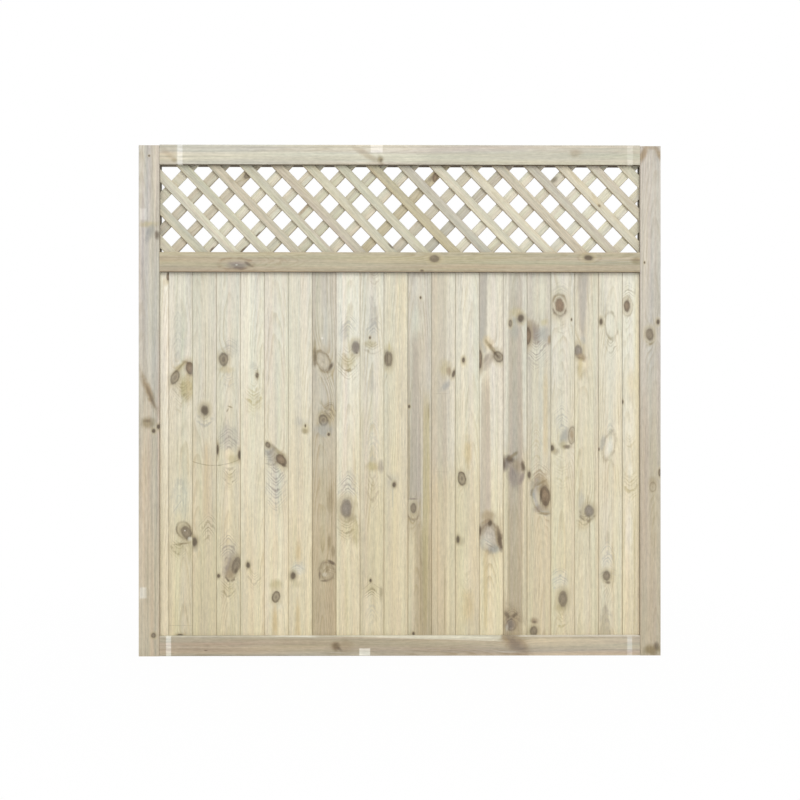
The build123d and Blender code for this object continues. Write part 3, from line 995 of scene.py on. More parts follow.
# Kinds of the sockets that aren't plain numbers
SOCKET_KINDS = {
    "Colour": "Color", "Tone": "Color", "Upper": "Color", "Lower": "Color", "Late Tone": "Color",
    "Place": "Vector", "Shade": "Vector",
}


def new_group(name, inputs, outputs):
    """An empty node group: its wiring, what it is given and where its results go."""
    group = bpy.data.node_groups.new(name, "ShaderNodeTree")
    for side, sockets in (("INPUT", inputs), ("OUTPUT", outputs)):
        for socket in sockets:
            kind = SOCKET_KINDS.get(socket, "Float")
            group.interface.new_socket(socket, in_out=side, socket_type="NodeSocket" + kind)
    wiring = Wiring(group)
    return wiring, wiring.node("NodeGroupInput").outputs, wiring.node("NodeGroupOutput").inputs


# How fast the pull of a knot on the rings dies away out from it and up from it, and how sharply
BEND_ACROSS = 0.45
BEND_ALONG = 0.07
BEND_FALL = 1.6


def spot_group():
    """How far a point lies from a spot, aside and up, in its radii, and how it bends the rings there."""
    wiring, given, result = new_group(
        "Spot",
        ("Place", "Ragged", "Across", "Along", "Half Width", "Half Height", "Turn", "Pull"),
        ("Reach", "Side", "Up", "Bend"),
    )
    math_node = wiring.math
    across, depth, along = wiring.split(given["Place"])
    out = math_node("SUBTRACT", across, given["Across"])
    lifted = math_node("MULTIPLY_ADD", depth, KNOT_RISE, given["Along"])
    up = math_node("SUBTRACT", along, lifted)
    cosine = math_node("COSINE", given["Turn"])
    sine = math_node("SINE", given["Turn"])
    turned_out = math_node("MULTIPLY_ADD", out, cosine, math_node("MULTIPLY", up, sine))
    turned_up = math_node("SUBTRACT", math_node("MULTIPLY", up, cosine), math_node("MULTIPLY", out, sine))
    side = math_node("DIVIDE", turned_out, given["Half Width"])
    rise = math_node("DIVIDE", turned_up, given["Half Height"])
    square = math_node("MULTIPLY_ADD", side, side, math_node("MULTIPLY", rise, rise))
    wide = math_node("MULTIPLY", math_node("MULTIPLY", side, side), BEND_ACROSS)
    tall = math_node("MULTIPLY", math_node("MULTIPLY", rise, rise), BEND_ALONG)
    spread = math_node("POWER", math_node("ADD", math_node("ADD", wide, tall), 1.0), BEND_FALL)
    wiring.feed(result["Reach"], math_node("ADD", given["Ragged"], math_node("SQRT", square)))
    wiring.feed(result["Side"], side)
    wiring.feed(result["Up"], rise)
    wiring.feed(result["Bend"], math_node("DIVIDE", given["Pull"], spread))


# Inside a knot: the turn of its own rings per radius, how they waver, how strong they are, how dark its
# tips are, its mottle, a lift in tone, and where all these fade out, in radii
KNOT_RINGS = 17.0
KNOT_RING_WAVER = 9.0
KNOT_RING_STRENGTH = 0.06
KNOT_TIPS = -0.14
KNOT_MOTTLE = 0.9
KNOT_LIFT = 0.04
KNOT_FADE = (0.8, 1.3)


def knot_group(kind, stops):
    """Lays the heart, rim and halo of one kind of knot over the wood."""
    wiring, given, result = new_group(
        "Knot " + kind, ("Colour", "Reach", "Up", "Ragged", "Mottle"), ("Colour",)
    )
    math_node = wiring.math
    ramp = wiring.node("ShaderNodeValToRGB", {"Fac": math_node("DIVIDE", given["Reach"], KNOT_REACH)})
    elements = ramp.color_ramp.elements
    while len(elements) < len(stops):
        elements.new(0.5)
    for element, (reach, tone, cover) in zip(elements, stops):
        element.position = reach / KNOT_REACH
        element.color = screen_tone(*tone)[:3] + (cover,)
    rings = math_node(
        "MULTIPLY_ADD", given["Ragged"], KNOT_RING_WAVER, math_node("MULTIPLY", given["Reach"], KNOT_RINGS)
    )
    inside = wiring.ease(given["Reach"], *KNOT_FADE, 1.0, 0.0)
    ringed = math_node("MULTIPLY", math_node("SINE", rings), KNOT_RING_STRENGTH)
    tipped = math_node("MULTIPLY_ADD", math_node("MULTIPLY", given["Up"], given["Up"]), KNOT_TIPS, ringed)
    mottled = math_node("MULTIPLY_ADD", given["Mottle"], KNOT_MOTTLE, math_node("ADD", tipped, KNOT_LIFT))
    light = math_node("MULTIPLY_ADD", mottled, inside, 1.0)
    shaded = wiring.vector("MULTIPLY", ramp.outputs["Color"], wiring.join(light, light, light))
    wiring.feed(result["Colour"], wiring.mix(ramp.outputs["Alpha"], given["Colour"], shaded))


# Rings: the lean of the pith from the grain, how far the rings sway and shiver, in millimetres, and the
# noise of each
RING_LEAN = 0.035
RING_SWAY = 16.0
RING_SHIVER = 4.0
SWAY_NOISE = (0.008, 0.008, 0.0024)
SHIVER_NOISE = (0.05, 0.05, 0.008)

# Late wood: where in a year it darkens and ends, and where it shows strongly
LATE_DARKENS = (0.35, 0.88)
LATE_ENDS = (0.88, 1.0)
FIGURE_NOISE = ((0.03, 0.03, 0.006), 3.0)
FIGURE = (-0.16, 0.18, 0.1, 1.0)

# Flames: noise that follows the rings, and how it changes along the grain
FLAME_NOISE = ((0.12, 1.0, 0.12), 2.0)
FLAME_CHANGE = 0.02

# Strands follow the grain, pushed aside by knots and shivers. Clouds don't. Each has its noise.
STRAND_BEND = 0.5
STRAND_SHIVER = 3.0
STRANDS = {
    "Streak": ((0.10, 0.05, 0.0011), 4.0, 0.62),
    "Cool": ((0.036, 0.02, 0.0016), 1.4),
    "Rosy": ((0.055, 0.03, 0.0014), 1.4),
    "Grain": ((0.26, 0.26, 0.026), 3.0, 0.65),
}
CLOUDS = {
    "Fibre": ((0.9, 0.9, 0.018), 2.0),
    "Cloud": ((0.016, 0.016, 0.008), 3.0),
    "Mottle": ((0.14, 0.14, 0.06), 3.0, 0.6),
}
GROWTH = ("Late", "Flame", *STRANDS, *CLOUDS)


def ring_group():
    """The year rings of a pine that leans and wanders, and the streaks and fibres that follow them."""
    wiring, given, result = new_group(
        "Pine Rings", ("Place", "Bend", "Pith", "Depth", "Spacing", "Seed"), GROWTH
    )
    math_node = wiring.math
    seeded = wiring.vector("ADD", given["Place"], wiring.join(0.0, given["Seed"], 0.0))
    across, depth, along = wiring.split(given["Place"])
    sway = wiring.noise(seeded, SWAY_NOISE)
    shiver = wiring.noise(seeded, SHIVER_NOISE)
    sideways = math_node("SUBTRACT", across, given["Pith"])
    leaning = math_node("MULTIPLY_ADD", along, RING_LEAN, math_node("ADD", depth, given["Depth"]))
    swayed = math_node("MULTIPLY_ADD", sway, RING_SWAY, leaning)
    square = math_node("MULTIPLY_ADD", sideways, sideways, math_node("MULTIPLY", swayed, swayed))
    radius = math_node("ADD", math_node("SQRT", square), given["Bend"])
    trembling = math_node("MULTIPLY_ADD", shiver, RING_SHIVER, radius)
    year = math_node("FRACT", math_node("DIVIDE", trembling, given["Spacing"]))
    late = math_node("MULTIPLY", wiring.ease(year, *LATE_DARKENS), wiring.ease(year, *LATE_ENDS, 1.0, 0.0))
    figure = wiring.ease(wiring.noise(seeded, *FIGURE_NOISE), *FIGURE)
    flame = wiring.join(trembling, given["Seed"], math_node("MULTIPLY", along, FLAME_CHANGE))
    shivered = math_node("MULTIPLY_ADD", shiver, STRAND_SHIVER, across)
    pushed = math_node("MULTIPLY_ADD", given["Bend"], STRAND_BEND, shivered)
    straight = wiring.join(pushed, math_node("ADD", depth, given["Seed"]), along)
    wiring.feed(result["Late"], math_node("MULTIPLY", late, figure))
    wiring.feed(result["Flame"], wiring.noise(flame, *FLAME_NOISE))
    for name, noise in STRANDS.items():
        wiring.feed(result[name], wiring.noise(straight, *noise))
    for name, noise in CLOUDS.items():
        wiring.feed(result[name], wiring.noise(seeded, *noise))


# Heights between which the lower tone goes over to the upper one, and how far clouds move them, in
# millimetres
TONE_CHANGE = (250.0, 1250.0)
TONE_WANDER = 500.0

# How much stronger the rings are by a knot, for each millimetre it bends them, and at most
RINGS_BY_KNOT = 0.08
RINGS_BY_KNOT_LIMIT = 1.9

# How much each kind of noise lightens the wood
LIGHTNESS = {"Flame": 0.12, "Fibre": 0.12, "Grain": 0.52, "Mottle": 0.28, "Cloud": 0.12}

# How cool and rosy streaks change red, green and blue
STREAK_HUES = ((-0.42, 0.2), (-0.29, -0.1), (0.05, 0.0))


def wood_tone_group():
    """Colours the wood between its rings, from the panel's foot to its top."""
    wiring, given, result = new_group(
        "Wood Tone",
        ("Upper", "Lower", "Late Tone", "Height", "Bend", "Ring Contrast", "Streak Contrast", *GROWTH),
        ("Colour", "Shade"),
    )
    math_node = wiring.math
    lifted = math_node("MULTIPLY_ADD", given["Cloud"], TONE_WANDER, given["Height"])
    ground = wiring.mix(wiring.ease(lifted, *TONE_CHANGE), given["Lower"], given["Upper"])
    near = math_node(
        "MINIMUM", math_node("MULTIPLY_ADD", given["Bend"], RINGS_BY_KNOT, 1.0), RINGS_BY_KNOT_LIMIT
    )
    late = math_node("MULTIPLY", given["Ring Contrast"], given["Late"])
    contrast = math_node("MULTIPLY", late, near, clamp=True)
    ringed = wiring.mix(contrast, ground, given["Late Tone"], "MULTIPLY")
    light = 1.0
    for name, weight in LIGHTNESS.items():
        light = math_node("MULTIPLY_ADD", given[name], weight, light)
    light = math_node("MULTIPLY_ADD", given["Streak"], given["Streak Contrast"], light)
    cool = math_node("MULTIPLY", given["Cool"], given["Streak Contrast"])
    rosy = math_node("MULTIPLY", given["Rosy"], given["Streak Contrast"])
    channels = [
        math_node("MULTIPLY_ADD", cool, by_cool, math_node("MULTIPLY_ADD", rosy, by_rosy, light))
        for by_cool, by_rosy in STREAK_HUES
    ]
    shade = wiring.join(*channels)
    wiring.feed(result["Shade"], shade)
    wiring.feed(result["Colour"], wiring.vector("MULTIPLY", ringed, shade))


# How much streaks break up a stain
STAIN_STREAKS = 0.8


def stain_group():
    """A tapered stain along the grain with soft sides and ends, or a plain mark across it."""
    wiring, given, result = new_group(
        "Stain",
        (
            "Colour", "Place", "Ragged", "Streak", "Tone", "Cover", "Across",
            "Foot", "Head", "Foot Half", "Head Half", "Edge", "Fade",
        ),
        ("Colour",),
    )
    math_node = wiring.math
    place = wiring.split(given["Place"])
    along = place["Z"]
    half = wiring.node(
        "ShaderNodeMapRange",
        {
            "Value": along, "From Min": given["Foot"], "From Max": given["Head"],
            "To Min": given["Foot Half"], "To Max": given["Head Half"],
        },
    ).outputs["Result"]
    wander = math_node("MULTIPLY", given["Ragged"], given["Edge"])
    off = math_node("ABSOLUTE", math_node("SUBTRACT", place["X"], given["Across"]))
    beyond = math_node("SUBTRACT", math_node("ADD", off, wander), half)
    sides = wiring.ease(math_node("DIVIDE", beyond, given["Edge"]), -1.0, 1.0, 1.0, 0.0)
    ragged_along = math_node("MULTIPLY_ADD", given["Ragged"], given["Fade"], along)
    from_foot = math_node("SUBTRACT", ragged_along, given["Foot"])
    to_head = math_node("SUBTRACT", given["Head"], ragged_along)
    above = wiring.ease(math_node("DIVIDE", from_foot, given["Fade"]), -1.0, 1.0)
    below = wiring.ease(math_node("DIVIDE", to_head, given["Fade"]), -1.0, 1.0)
    streaked = math_node("MULTIPLY_ADD", given["Streak"], STAIN_STREAKS, given["Cover"])
    mask = math_node("MULTIPLY", math_node("MULTIPLY", above, below), sides)
    factor = math_node("MULTIPLY", mask, math_node("MINIMUM", streaked, 1.0), clamp=True)
    wiring.feed(result["Colour"], wiring.mix(factor, given["Colour"], given["Tone"]))


# Feathers: the round of their tips in millimetres, how ragged the lines are, how their spacing and their
# strength beat, how much of each line is drawn, where they fade out in radii, and where the wood breaks them
FEATHER_TIP = 5.0
FEATHER_RAGGEDNESS = 1.6
FEATHER_SPACING_BEAT = (2.1, 0.25)
FEATHER_STRENGTH_BEAT = (2.7, 0.2)
FEATHER_STRENGTH = 0.64
FEATHER_LINE = (-0.3, 1.0)
FEATHER_FADE = (1.25, 0.2)
FEATHER_BREAK = (0.16, -0.06, 0.5, 1.0)


def feather_group():
    """Nested lines that point up or down the grain, fading out over an oval."""
    wiring, given, result = new_group(
        "Feather",
        (
            "Colour", "Tone", "Reach", "Side", "Up", "Ragged",
            "Half Width", "Half Height", "Cover", "Steep", "Spacing",
        ),
        ("Colour",),
    )
    math_node = wiring.math

    def beat(value, pace, strength, base):
        """A base that swells and sinks as a value grows."""
        swell = math_node("SINE", math_node("MULTIPLY", value, pace))
        return math_node("MULTIPLY_ADD", swell, strength, base)

    out = math_node("MULTIPLY", given["Side"], given["Half Width"])
    rounded = math_node("SQRT", math_node("MULTIPLY_ADD", out, out, FEATHER_TIP * FEATHER_TIP))
    up = math_node("MULTIPLY", given["Up"], given["Half Height"])
    sloped = math_node("DIVIDE", math_node("MULTIPLY_ADD", rounded, given["Steep"], up), given["Spacing"])
    ragged = math_node("MULTIPLY_ADD", given["Ragged"], FEATHER_RAGGEDNESS, sloped)
    spaced = beat(sloped, *FEATHER_SPACING_BEAT, ragged)
    lines = wiring.ease(math_node("SINE", math_node("MULTIPLY", spaced, math.tau)), *FEATHER_LINE)
    varied = beat(ragged, *FEATHER_STRENGTH_BEAT, FEATHER_STRENGTH)
    faded = wiring.ease(given["Reach"], *FEATHER_FADE, 0.0, given["Cover"])
    broken = wiring.ease(given["Ragged"], *FEATHER_BREAK)
    drawn = math_node("MULTIPLY", math_node("MULTIPLY", lines, varied), broken)
    factor = math_node("MULTIPLY", drawn, faded)
    wiring.feed(result["Colour"], wiring.mix(factor, given["Colour"], given["Tone"]))


def make_groups():
    """The node groups that every timber shares, made once."""
    if "Pine Rings" in bpy.data.node_groups:
        return
    spot_group()
    ring_group()
    wood_tone_group()
    stain_group()
    feather_group()
    for kind, stops in KNOT_KINDS.items():
        knot_group(kind, stops)


def millimetre_place(wiring, middle, turn):
    """Place in millimetres from a middle given in metres, on axes turned about y."""
    point = wiring.node("ShaderNodeTexCoord").outputs["Object"]
    mapping = wiring.node(
        "ShaderNodeMapping",
        {"Vector": point, "Location": middle, "Rotation": (0.0, turn, 0.0), "Scale": (MILLIMETRE,) * 3},
        vector_type="TEXTURE",
    )
    return mapping.outputs[0]


def upright_place(wiring):
    """Place in millimetres for a piece whose grain runs up: x, y, z."""
    return millimetre_place(wiring, (0.0, 0.0, 0.0), 0.0)


def level_place(wiring):
    """Place in millimetres for a piece whose grain runs level: z, y, x."""
    x, y, z = wiring.split(upright_place(wiring))
    return wiring.join(z, y, x)


def sloping_place(middle, turn):
    """Place in millimetres for a slat: across, through and along it from its own middle."""

    def place(wiring):
        return millimetre_place(wiring, middle, turn)

    return place


def corner_place(middle, turn):
    """Place in millimetres for the corner slats, which slope one way in front and the other behind."""

    def place(wiring):
        behind = wiring.math("GREATER_THAN", wiring.split(upright_place(wiring))["Y"], 0.0)
        node = wiring.node("ShaderNodeMix", data_type="VECTOR")
        wiring.feed(node.inputs[0], behind)
        wiring.feed(node.inputs[4], millimetre_place(wiring, middle, -turn))
        wiring.feed(node.inputs[5], millimetre_place(wiring, middle, turn))
        return node.outputs[1]

    return place


# Outlines of the marks: their shared noise, how uneven each kind is, and how far a knot pulls the rings, in
# its own heights
RAGGED_NOISE = ((0.05, 0.05, 0.04), 3.0, 0.6)
KNOT_UNEVENNESS = 0.5
SPOT_UNEVENNESS = 1.0
ARC_UNEVENNESS = 2.6
KNOT_PULL = 0.30


def find_spot(wiring, mark, place, ragged):
    """Where each point lies in the oval of a mark. A stain has no oval."""
    if isinstance(mark, Stain):
        return None
    pull = 0.0
    unevenness = SPOT_UNEVENNESS
    if isinstance(mark, Knot):
        pull = mark.pull * mark.height * KNOT_PULL
        unevenness = KNOT_UNEVENNESS
    if isinstance(mark, Arc):
        unevenness = ARC_UNEVENNESS * mark.line
    return wiring.group(
        "Spot",
        {
            "Place": place,
            "Ragged": wiring.math("MULTIPLY", ragged, unevenness),
            "Across": mark.across,
            "Along": mark.along,
            "Half Width": mark.width / 2,
            "Half Height": mark.height / 2,
            "Turn": math.radians(mark.turn),
            "Pull": pull,
        },
    )


# Marks on the front alone lie in front of this, in millimetres from the panel's middle plane
FRONT_ONLY = -9.0


def lay_stain(wiring, colour, stain, tone, place, ragged, streak):
    """A stain over the wood, on the front alone unless it goes through."""
    stained = wiring.group(
        "Stain",
        {
            "Colour": colour,
            "Place": place,
            "Ragged": ragged,
            "Streak": streak,
            "Tone": tone,
            "Cover": stain.cover,
            "Across": stain.across,
            "Foot": stain.foot,
            "Head": stain.head,
            "Foot Half": stain.foot_width / 2,
            "Head Half": stain.head_width / 2,
            "Edge": stain.edge,
            "Fade": stain.fade,
        },
    )["Colour"]
    if stain.through:
        return stained
    return wiring.mix(wiring.math("LESS_THAN", wiring.split(place)["Y"], FRONT_ONLY), colour, stained)


# Where a patch fades out, in radii. How soft an arc's line and its ends are, and where the wood breaks it.
PATCH_FADE = (1.35, 0.3)
ARC_SOFTNESS = 1.7
ARC_END = 0.2
ARC_BREAK = (0.12, -0.12, 0.4, 1.0)


def lay_spot(wiring, colour, mark, tone, spot, ragged, mottle):
    """A knot, a patch, an arc or a feather over the wood."""
    if isinstance(mark, Knot):
        given = {
            "Colour": colour,
            "Reach": spot["Reach"],
            "Up": spot["Up"],
            "Ragged": ragged,
            "Mottle": mottle,
        }
        return wiring.group("Knot " + mark.kind, given)["Colour"]
    if isinstance(mark, Patch):
        return wiring.mix(wiring.ease(spot["Reach"], *PATCH_FADE, 0.0, mark.cover), colour, tone)
    if isinstance(mark, Feather):
        given = {
            "Colour": colour,
            "Tone": tone,
            "Reach": spot["Reach"],
            "Side": spot["Side"],
            "Up": spot["Up"],
            "Ragged": ragged,
            "Half Width": mark.width / 2,
            "Half Height": mark.height / 2,
            "Cover": mark.cover,
            "Steep": mark.steep,
            "Spacing": mark.spacing,
        }
        return wiring.group("Feather", given)["Colour"]
    off = wiring.math("ABSOLUTE", wiring.math("SUBTRACT", spot["Reach"], 1.0))
    drawn = wiring.ease(off, mark.line * ARC_SOFTNESS, 0.0, 0.0, mark.cover)
    kept = wiring.ease(spot["Up"], mark.level + ARC_END, mark.level - ARC_END)
    broken = wiring.ease(ragged, *ARC_BREAK)
    return wiring.mix(wiring.math("MULTIPLY", wiring.math("MULTIPLY", drawn, kept), broken), colour, tone)


def lay_marks(wiring, wood, look, spots, tones, place, ragged, rings):
    """The wood's colour with a timber's marks laid over it in turn."""
    colour = wood["Colour"]
    for mark, spot in zip(look.marks, spots):
        if isinstance(mark, Knot):
            tone = None
        else:
            tone = wiring.vector("MULTIPLY", linear(getattr(tones, mark.tone))[:3], wood["Shade"])
        if isinstance(mark, Stain):
            colour = lay_stain(wiring, colour, mark, tone, place, ragged, rings["Streak"])
        elif not isinstance(mark, Knot) or mark.kind:
            colour = lay_spot(wiring, colour, mark, tone, spot, ragged, rings["Mottle"])
    return colour


def inside_panel(wiring):
    """One inside the panel, nothing on its outer edges, which stay free of the painted shade and grime."""
    place = wiring.split(upright_place(wiring))
    low, high = (corner / MILLIMETRE for corner in cad_box)
    aside = wiring.math("ABSOLUTE", place["X"])
    side = wiring.ease(aside, high.x - EDGE_MARGIN, high.x - 2 * EDGE_MARGIN)
    foot = wiring.ease(place["Z"], low.z + EDGE_MARGIN, low.z + 2 * EDGE_MARGIN)
    head = wiring.ease(place["Z"], high.z - EDGE_MARGIN, high.z - 2 * EDGE_MARGIN)
    return wiring.math("MULTIPLY", wiring.math("MULTIPLY", foot, head), side)


# Sawn ends: how deep their tone goes, in millimetres, and how much the late wood darkens it
SAWN_DEPTH = 1.0
SAWN_RINGS = 0.5


def timber_material(name, look, place_of, seed, scene, shade_and_grime=None, ends=None):
    """Treated pine for one piece, with its own rings and marks.

    The painted shade and grime deep in the grooves and joints is how far from the panel's middle plane it
    starts and is thickest, and its cover.
    Ends are the heights of the sawn ends.
    """
    make_groups()
    tones = scene.fence_tones
    grain = scene.fence_grain
    material, wiring = new_material(name)
    place = place_of(wiring)
    height = wiring.split(upright_place(wiring))["Z"]
    ragged = wiring.noise(place, *RAGGED_NOISE)
    spots = [find_spot(wiring, mark, place, ragged) for mark in look.marks]
    bend = 0.0
    for mark, spot in zip(look.marks, spots):
        if isinstance(mark, Knot):
            bend = wiring.math("ADD", bend, spot["Bend"])
    rings = wiring.group(
        "Pine Rings",
        {
            "Place": place,
            "Bend": bend,
            "Pith": look.pith,
            "Depth": look.depth,
            "Spacing": grain.ring_spacing / MILLIMETRE,
            "Seed": seed * SEED_STEP,
        },
    )
    given = {
        "Upper": linear(getattr(tones, look.upper)),
        "Lower": linear(getattr(tones, look.lower)),
        "Late Tone": linear(tones.late_wood),
        "Height": height,
        "Bend": bend,
        "Ring Contrast": grain.ring_contrast * look.rings,
        "Streak Contrast": grain.streak_contrast * look.streaks,
    }
    for growth in GROWTH:
        given[growth] = rings[growth]
    wood = wiring.group("Wood Tone", given)
    colour = lay_marks(wiring, wood, look, spots, tones, place, ragged, rings)
    between_ends = 1.0
    if ends is not None:
        foot, head = ends
        above_foot = wiring.ease(height, foot, foot + SAWN_DEPTH)
        below_head = wiring.ease(height, head, head - SAWN_DEPTH)
        between_ends = wiring.math("MULTIPLY", above_foot, below_head)
        late = wiring.math("MULTIPLY", rings["Late"], SAWN_RINGS)
        sawn = wiring.mix(late, linear(tones.end_grain), linear(tones.shade))
        colour = wiring.mix(between_ends, sawn, colour)
    # Painted shade and grime deep in the grooves and joints, kept off the sawn ends
    if shade_and_grime is not None:
        start, thick, cover = shade_and_grime
        through = wiring.math("ABSOLUTE", wiring.split(place)["Y"])
        shaded_and_grimy = wiring.ease(through, start, thick, 0.0, cover)
        inside = wiring.math("MULTIPLY", shaded_and_grimy, inside_panel(wiring))
        colour = wiring.mix(wiring.math("MULTIPLY", inside, between_ends), colour, linear(tones.grime))
    finish_timber(wiring, colour, rings, grain)
    return material


# The planed surface: how far the late wood and all the grain stand up, how much the fibres roughen it, and
# its sheen
LATE_RIDGE = 0.5
GRAIN_RIDGE = 0.5
FIBRE_ROUGHNESS = 0.3
TIMBER_SHEEN = 0.3


def finish_timber(wiring, colour, rings, grain):
    """The planed surface: dry, a little rougher between the rings, with the late wood standing up."""
    ridge = wiring.math("MULTIPLY_ADD", rings["Late"], LATE_RIDGE, rings["Fibre"])
    given = {"Height": ridge, "Strength": GRAIN_RIDGE, "Distance": grain.relief}
    bump = wiring.node("ShaderNodeBump", given)
    shader = wiring.node(
        "ShaderNodeBsdfPrincipled",
        {
            "Base Color": colour,
            "Roughness": wiring.math("MULTIPLY_ADD", rings["Fibre"], FIBRE_ROUGHNESS, grain.roughness),
            "Normal": bump.outputs["Normal"],
            "Specular IOR Level": TIMBER_SHEEN,
        },
    )
    wiring.show(shader)


def dress(node, material):
    """Gives a CAD node one finish in all its material slots."""
    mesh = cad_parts[node].data
    mesh.materials.clear()
    mesh.materials.append(material)


def middle_of(node):
    """The middle of a CAD node's box, in metres."""
    low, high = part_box(node)
    return (low + high) / 2


def numbered(prefix):
    """CAD nodes of one kind in order."""
    return sorted(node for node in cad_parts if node.startswith(prefix))


# Zinc: its spangles, its roughness and how much the spangles change that
SPANGLE_NOISE = ((0.6, 0.6, 0.6), 2.0)
SPANGLE_ROUGHNESS = 0.3
ZINC_ROUGHNESS = 0.42


def galvanised_material(scene):
    """Zinc-coated steel, dulled and a little mottled."""
    name = "galvanised_steel"
    if name in bpy.data.materials:
        return bpy.data.materials[name]
    material, wiring = new_material(name)
    spangle = wiring.noise(upright_place(wiring), *SPANGLE_NOISE)
    rough = wiring.math("MULTIPLY_ADD", spangle, SPANGLE_ROUGHNESS, ZINC_ROUGHNESS)
    zinc = linear(scene.fence_tones.zinc)
    given = {"Base Color": zinc, "Roughness": rough, "Metallic": 1.0}
    wiring.show(wiring.node("ShaderNodeBsdfPrincipled", given))
    return material


class FENCE_OT_boards(bpy.types.Operator):
    """Dress the upright tongue and groove boards"""

    bl_idname = "fence.boards"
    bl_label = "Boards"

    def execute(self, context):
        for seed, (node, look) in enumerate(zip(numbered("board_"), BOARDS), BOARD_SEED):
            look = look._replace(pith=middle_of(node).x / MILLIMETRE + look.pith)
            dress(node, timber_material(node, look, upright_place, seed, context.scene, JOINT_SHADE_AND_GRIME))
        return {"FINISHED"}


class FENCE_OT_stiles(bpy.types.Operator):
    """Dress the two stiles"""

    bl_idname = "fence.stiles"
    bl_label = "Stiles"

    def execute(self, context):
        for seed, (node, look) in enumerate(STILES.items(), STILE_SEED):
            look = look._replace(pith=middle_of(node).x / MILLIMETRE + look.pith)
            ends = [corner.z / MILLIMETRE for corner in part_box(node)]
            dress(node, timber_material(node, look, upright_place, seed, context.scene, GROOVE_SHADE_AND_GRIME, ends))
        return {"FINISHED"}


class FENCE_OT_rails(bpy.types.Operator):
    """Dress the three rails"""

    bl_idname = "fence.rails"
    bl_label = "Rails"

    def execute(self, context):
        for seed, (node, look) in enumerate(RAILS.items(), RAIL_SEED):
            look = look._replace(pith=middle_of(node).z / MILLIMETRE + look.pith)
            dress(node, timber_material(node, look, level_place, seed, context.scene, GROOVE_SHADE_AND_GRIME))
        return {"FINISHED"}


class FENCE_OT_slats(bpy.types.Operator):
    """Dress the two layers of lattice slats"""

    bl_idname = "fence.slats"
    bl_label = "Slats"

    def execute(self, context):
        scene = context.scene
        lean = math.pi / 2 - SLAT_SLOPE
        first_front = FRONT_SLAT_OFFSET - FRONT_SLATS_BEFORE * SLAT_SPACING
        first_back = BACK_SLAT_OFFSET - BACK_SLATS_BEFORE * SLAT_SPACING
        dress_layer(scene, "front_slat_", FRONT_SLAT_TONES, first_front, -1, lean, FRONT_SLAT_SEED)
        dress_layer(scene, "back_slat_", BACK_SLAT_TONES, first_back, 1, lean, BACK_SLAT_SEED)
        place = corner_place(middle_of("corner_slats"), lean)
        dress("corner_slats", timber_material("corner_slats", CORNER_SLATS, place, CORNER_SLAT_SEED, scene))
        return {"FINISHED"}


def dress_layer(scene, prefix, tones, first, down, lean, first_seed):
    """Dresses the whole slats of one layer, from where its first one crosses mid-height, in millimetres."""
    height = middle_of("corner_slats").z
    # The slats' sawn edges, the lower one darkened more as painted shade
    edges = tuple(
        Stain(down * off, -SLAT_REACH, SLAT_REACH, width, width, SLAT_EDGE_SHADE_TONE, cover, *SLAT_EDGE_SOFTNESS)
        for off, width, cover in SLAT_SAWN_AND_SHADED_EDGES
    )
    for index, (node, tone) in enumerate(zip(numbered(prefix), tones)):
        middle = Vector(((first + index * SLAT_SPACING) * MILLIMETRE, middle_of(node).y, height))
        pith = SLAT_PITH_SIDE * math.sin(index * SLAT_PITH_STEP)
        marks = SLAT_MARKS.get(node, ()) + edges
        look = Timber(tone, tone, pith, SLAT_PITH_DEPTH, marks, SLAT_RINGS, SLAT_STREAKS)
        place = sloping_place(middle, down * lean)
        dress(node, timber_material(node, look, place, first_seed + index, scene))


class FENCE_OT_nails(bpy.types.Operator):
    """Dress the nails that hold the tenons"""

    bl_idname = "fence.nails"
    bl_label = "Nails"

    def execute(self, context):
        dress("tenon_nails", galvanised_material(context.scene))
        return {"FINISHED"}


# Staples: how far they twist, in degrees, and how that changes from one to the next, how far in from the
# frame they start, in metres, how many slats are tried to each side, and the round of their shoulders, in
# wire thicknesses and segments
STAPLE_TWIST = 6.0
STAPLE_TWIST_STEP = 1.7
STAPLE_MARGIN = 0.016
SLATS_TRIED = 10
SHOULDER_ROUND = 0.8
SHOULDER_SEGMENTS = 3


class FENCE_OT_staples(bpy.types.Operator):
    """Drive a staple into the back of the lattice wherever two slats cross"""

    bl_idname = "fence.staples"
    bl_label = "Staples"

    def execute(self, context):
        staples = context.scene.fence_staples
        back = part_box("back_slat_01")[1].y
        build = bmesh.new()
        for index, (x, z) in enumerate(slat_crossings()):
            twist = math.radians(STAPLE_TWIST * math.sin(index * STAPLE_TWIST_STEP)) + SLAT_SLOPE
            drive_staple(build, staples, Matrix.Translation((x, back, z)) @ Matrix.Rotation(-twist, 4, "Y"))
        bmesh.ops.recalc_face_normals(build, faces=build.faces[:])
        mesh = bpy.data.meshes.new("lattice_staples")
        build.to_mesh(mesh)
        build.free()
        piece = bpy.data.objects.new("lattice_staples", mesh)
        context.scene.collection.objects.link(piece)
        mesh.materials.append(galvanised_material(context.scene))
        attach(piece, BODY)
        return {"FINISHED"}


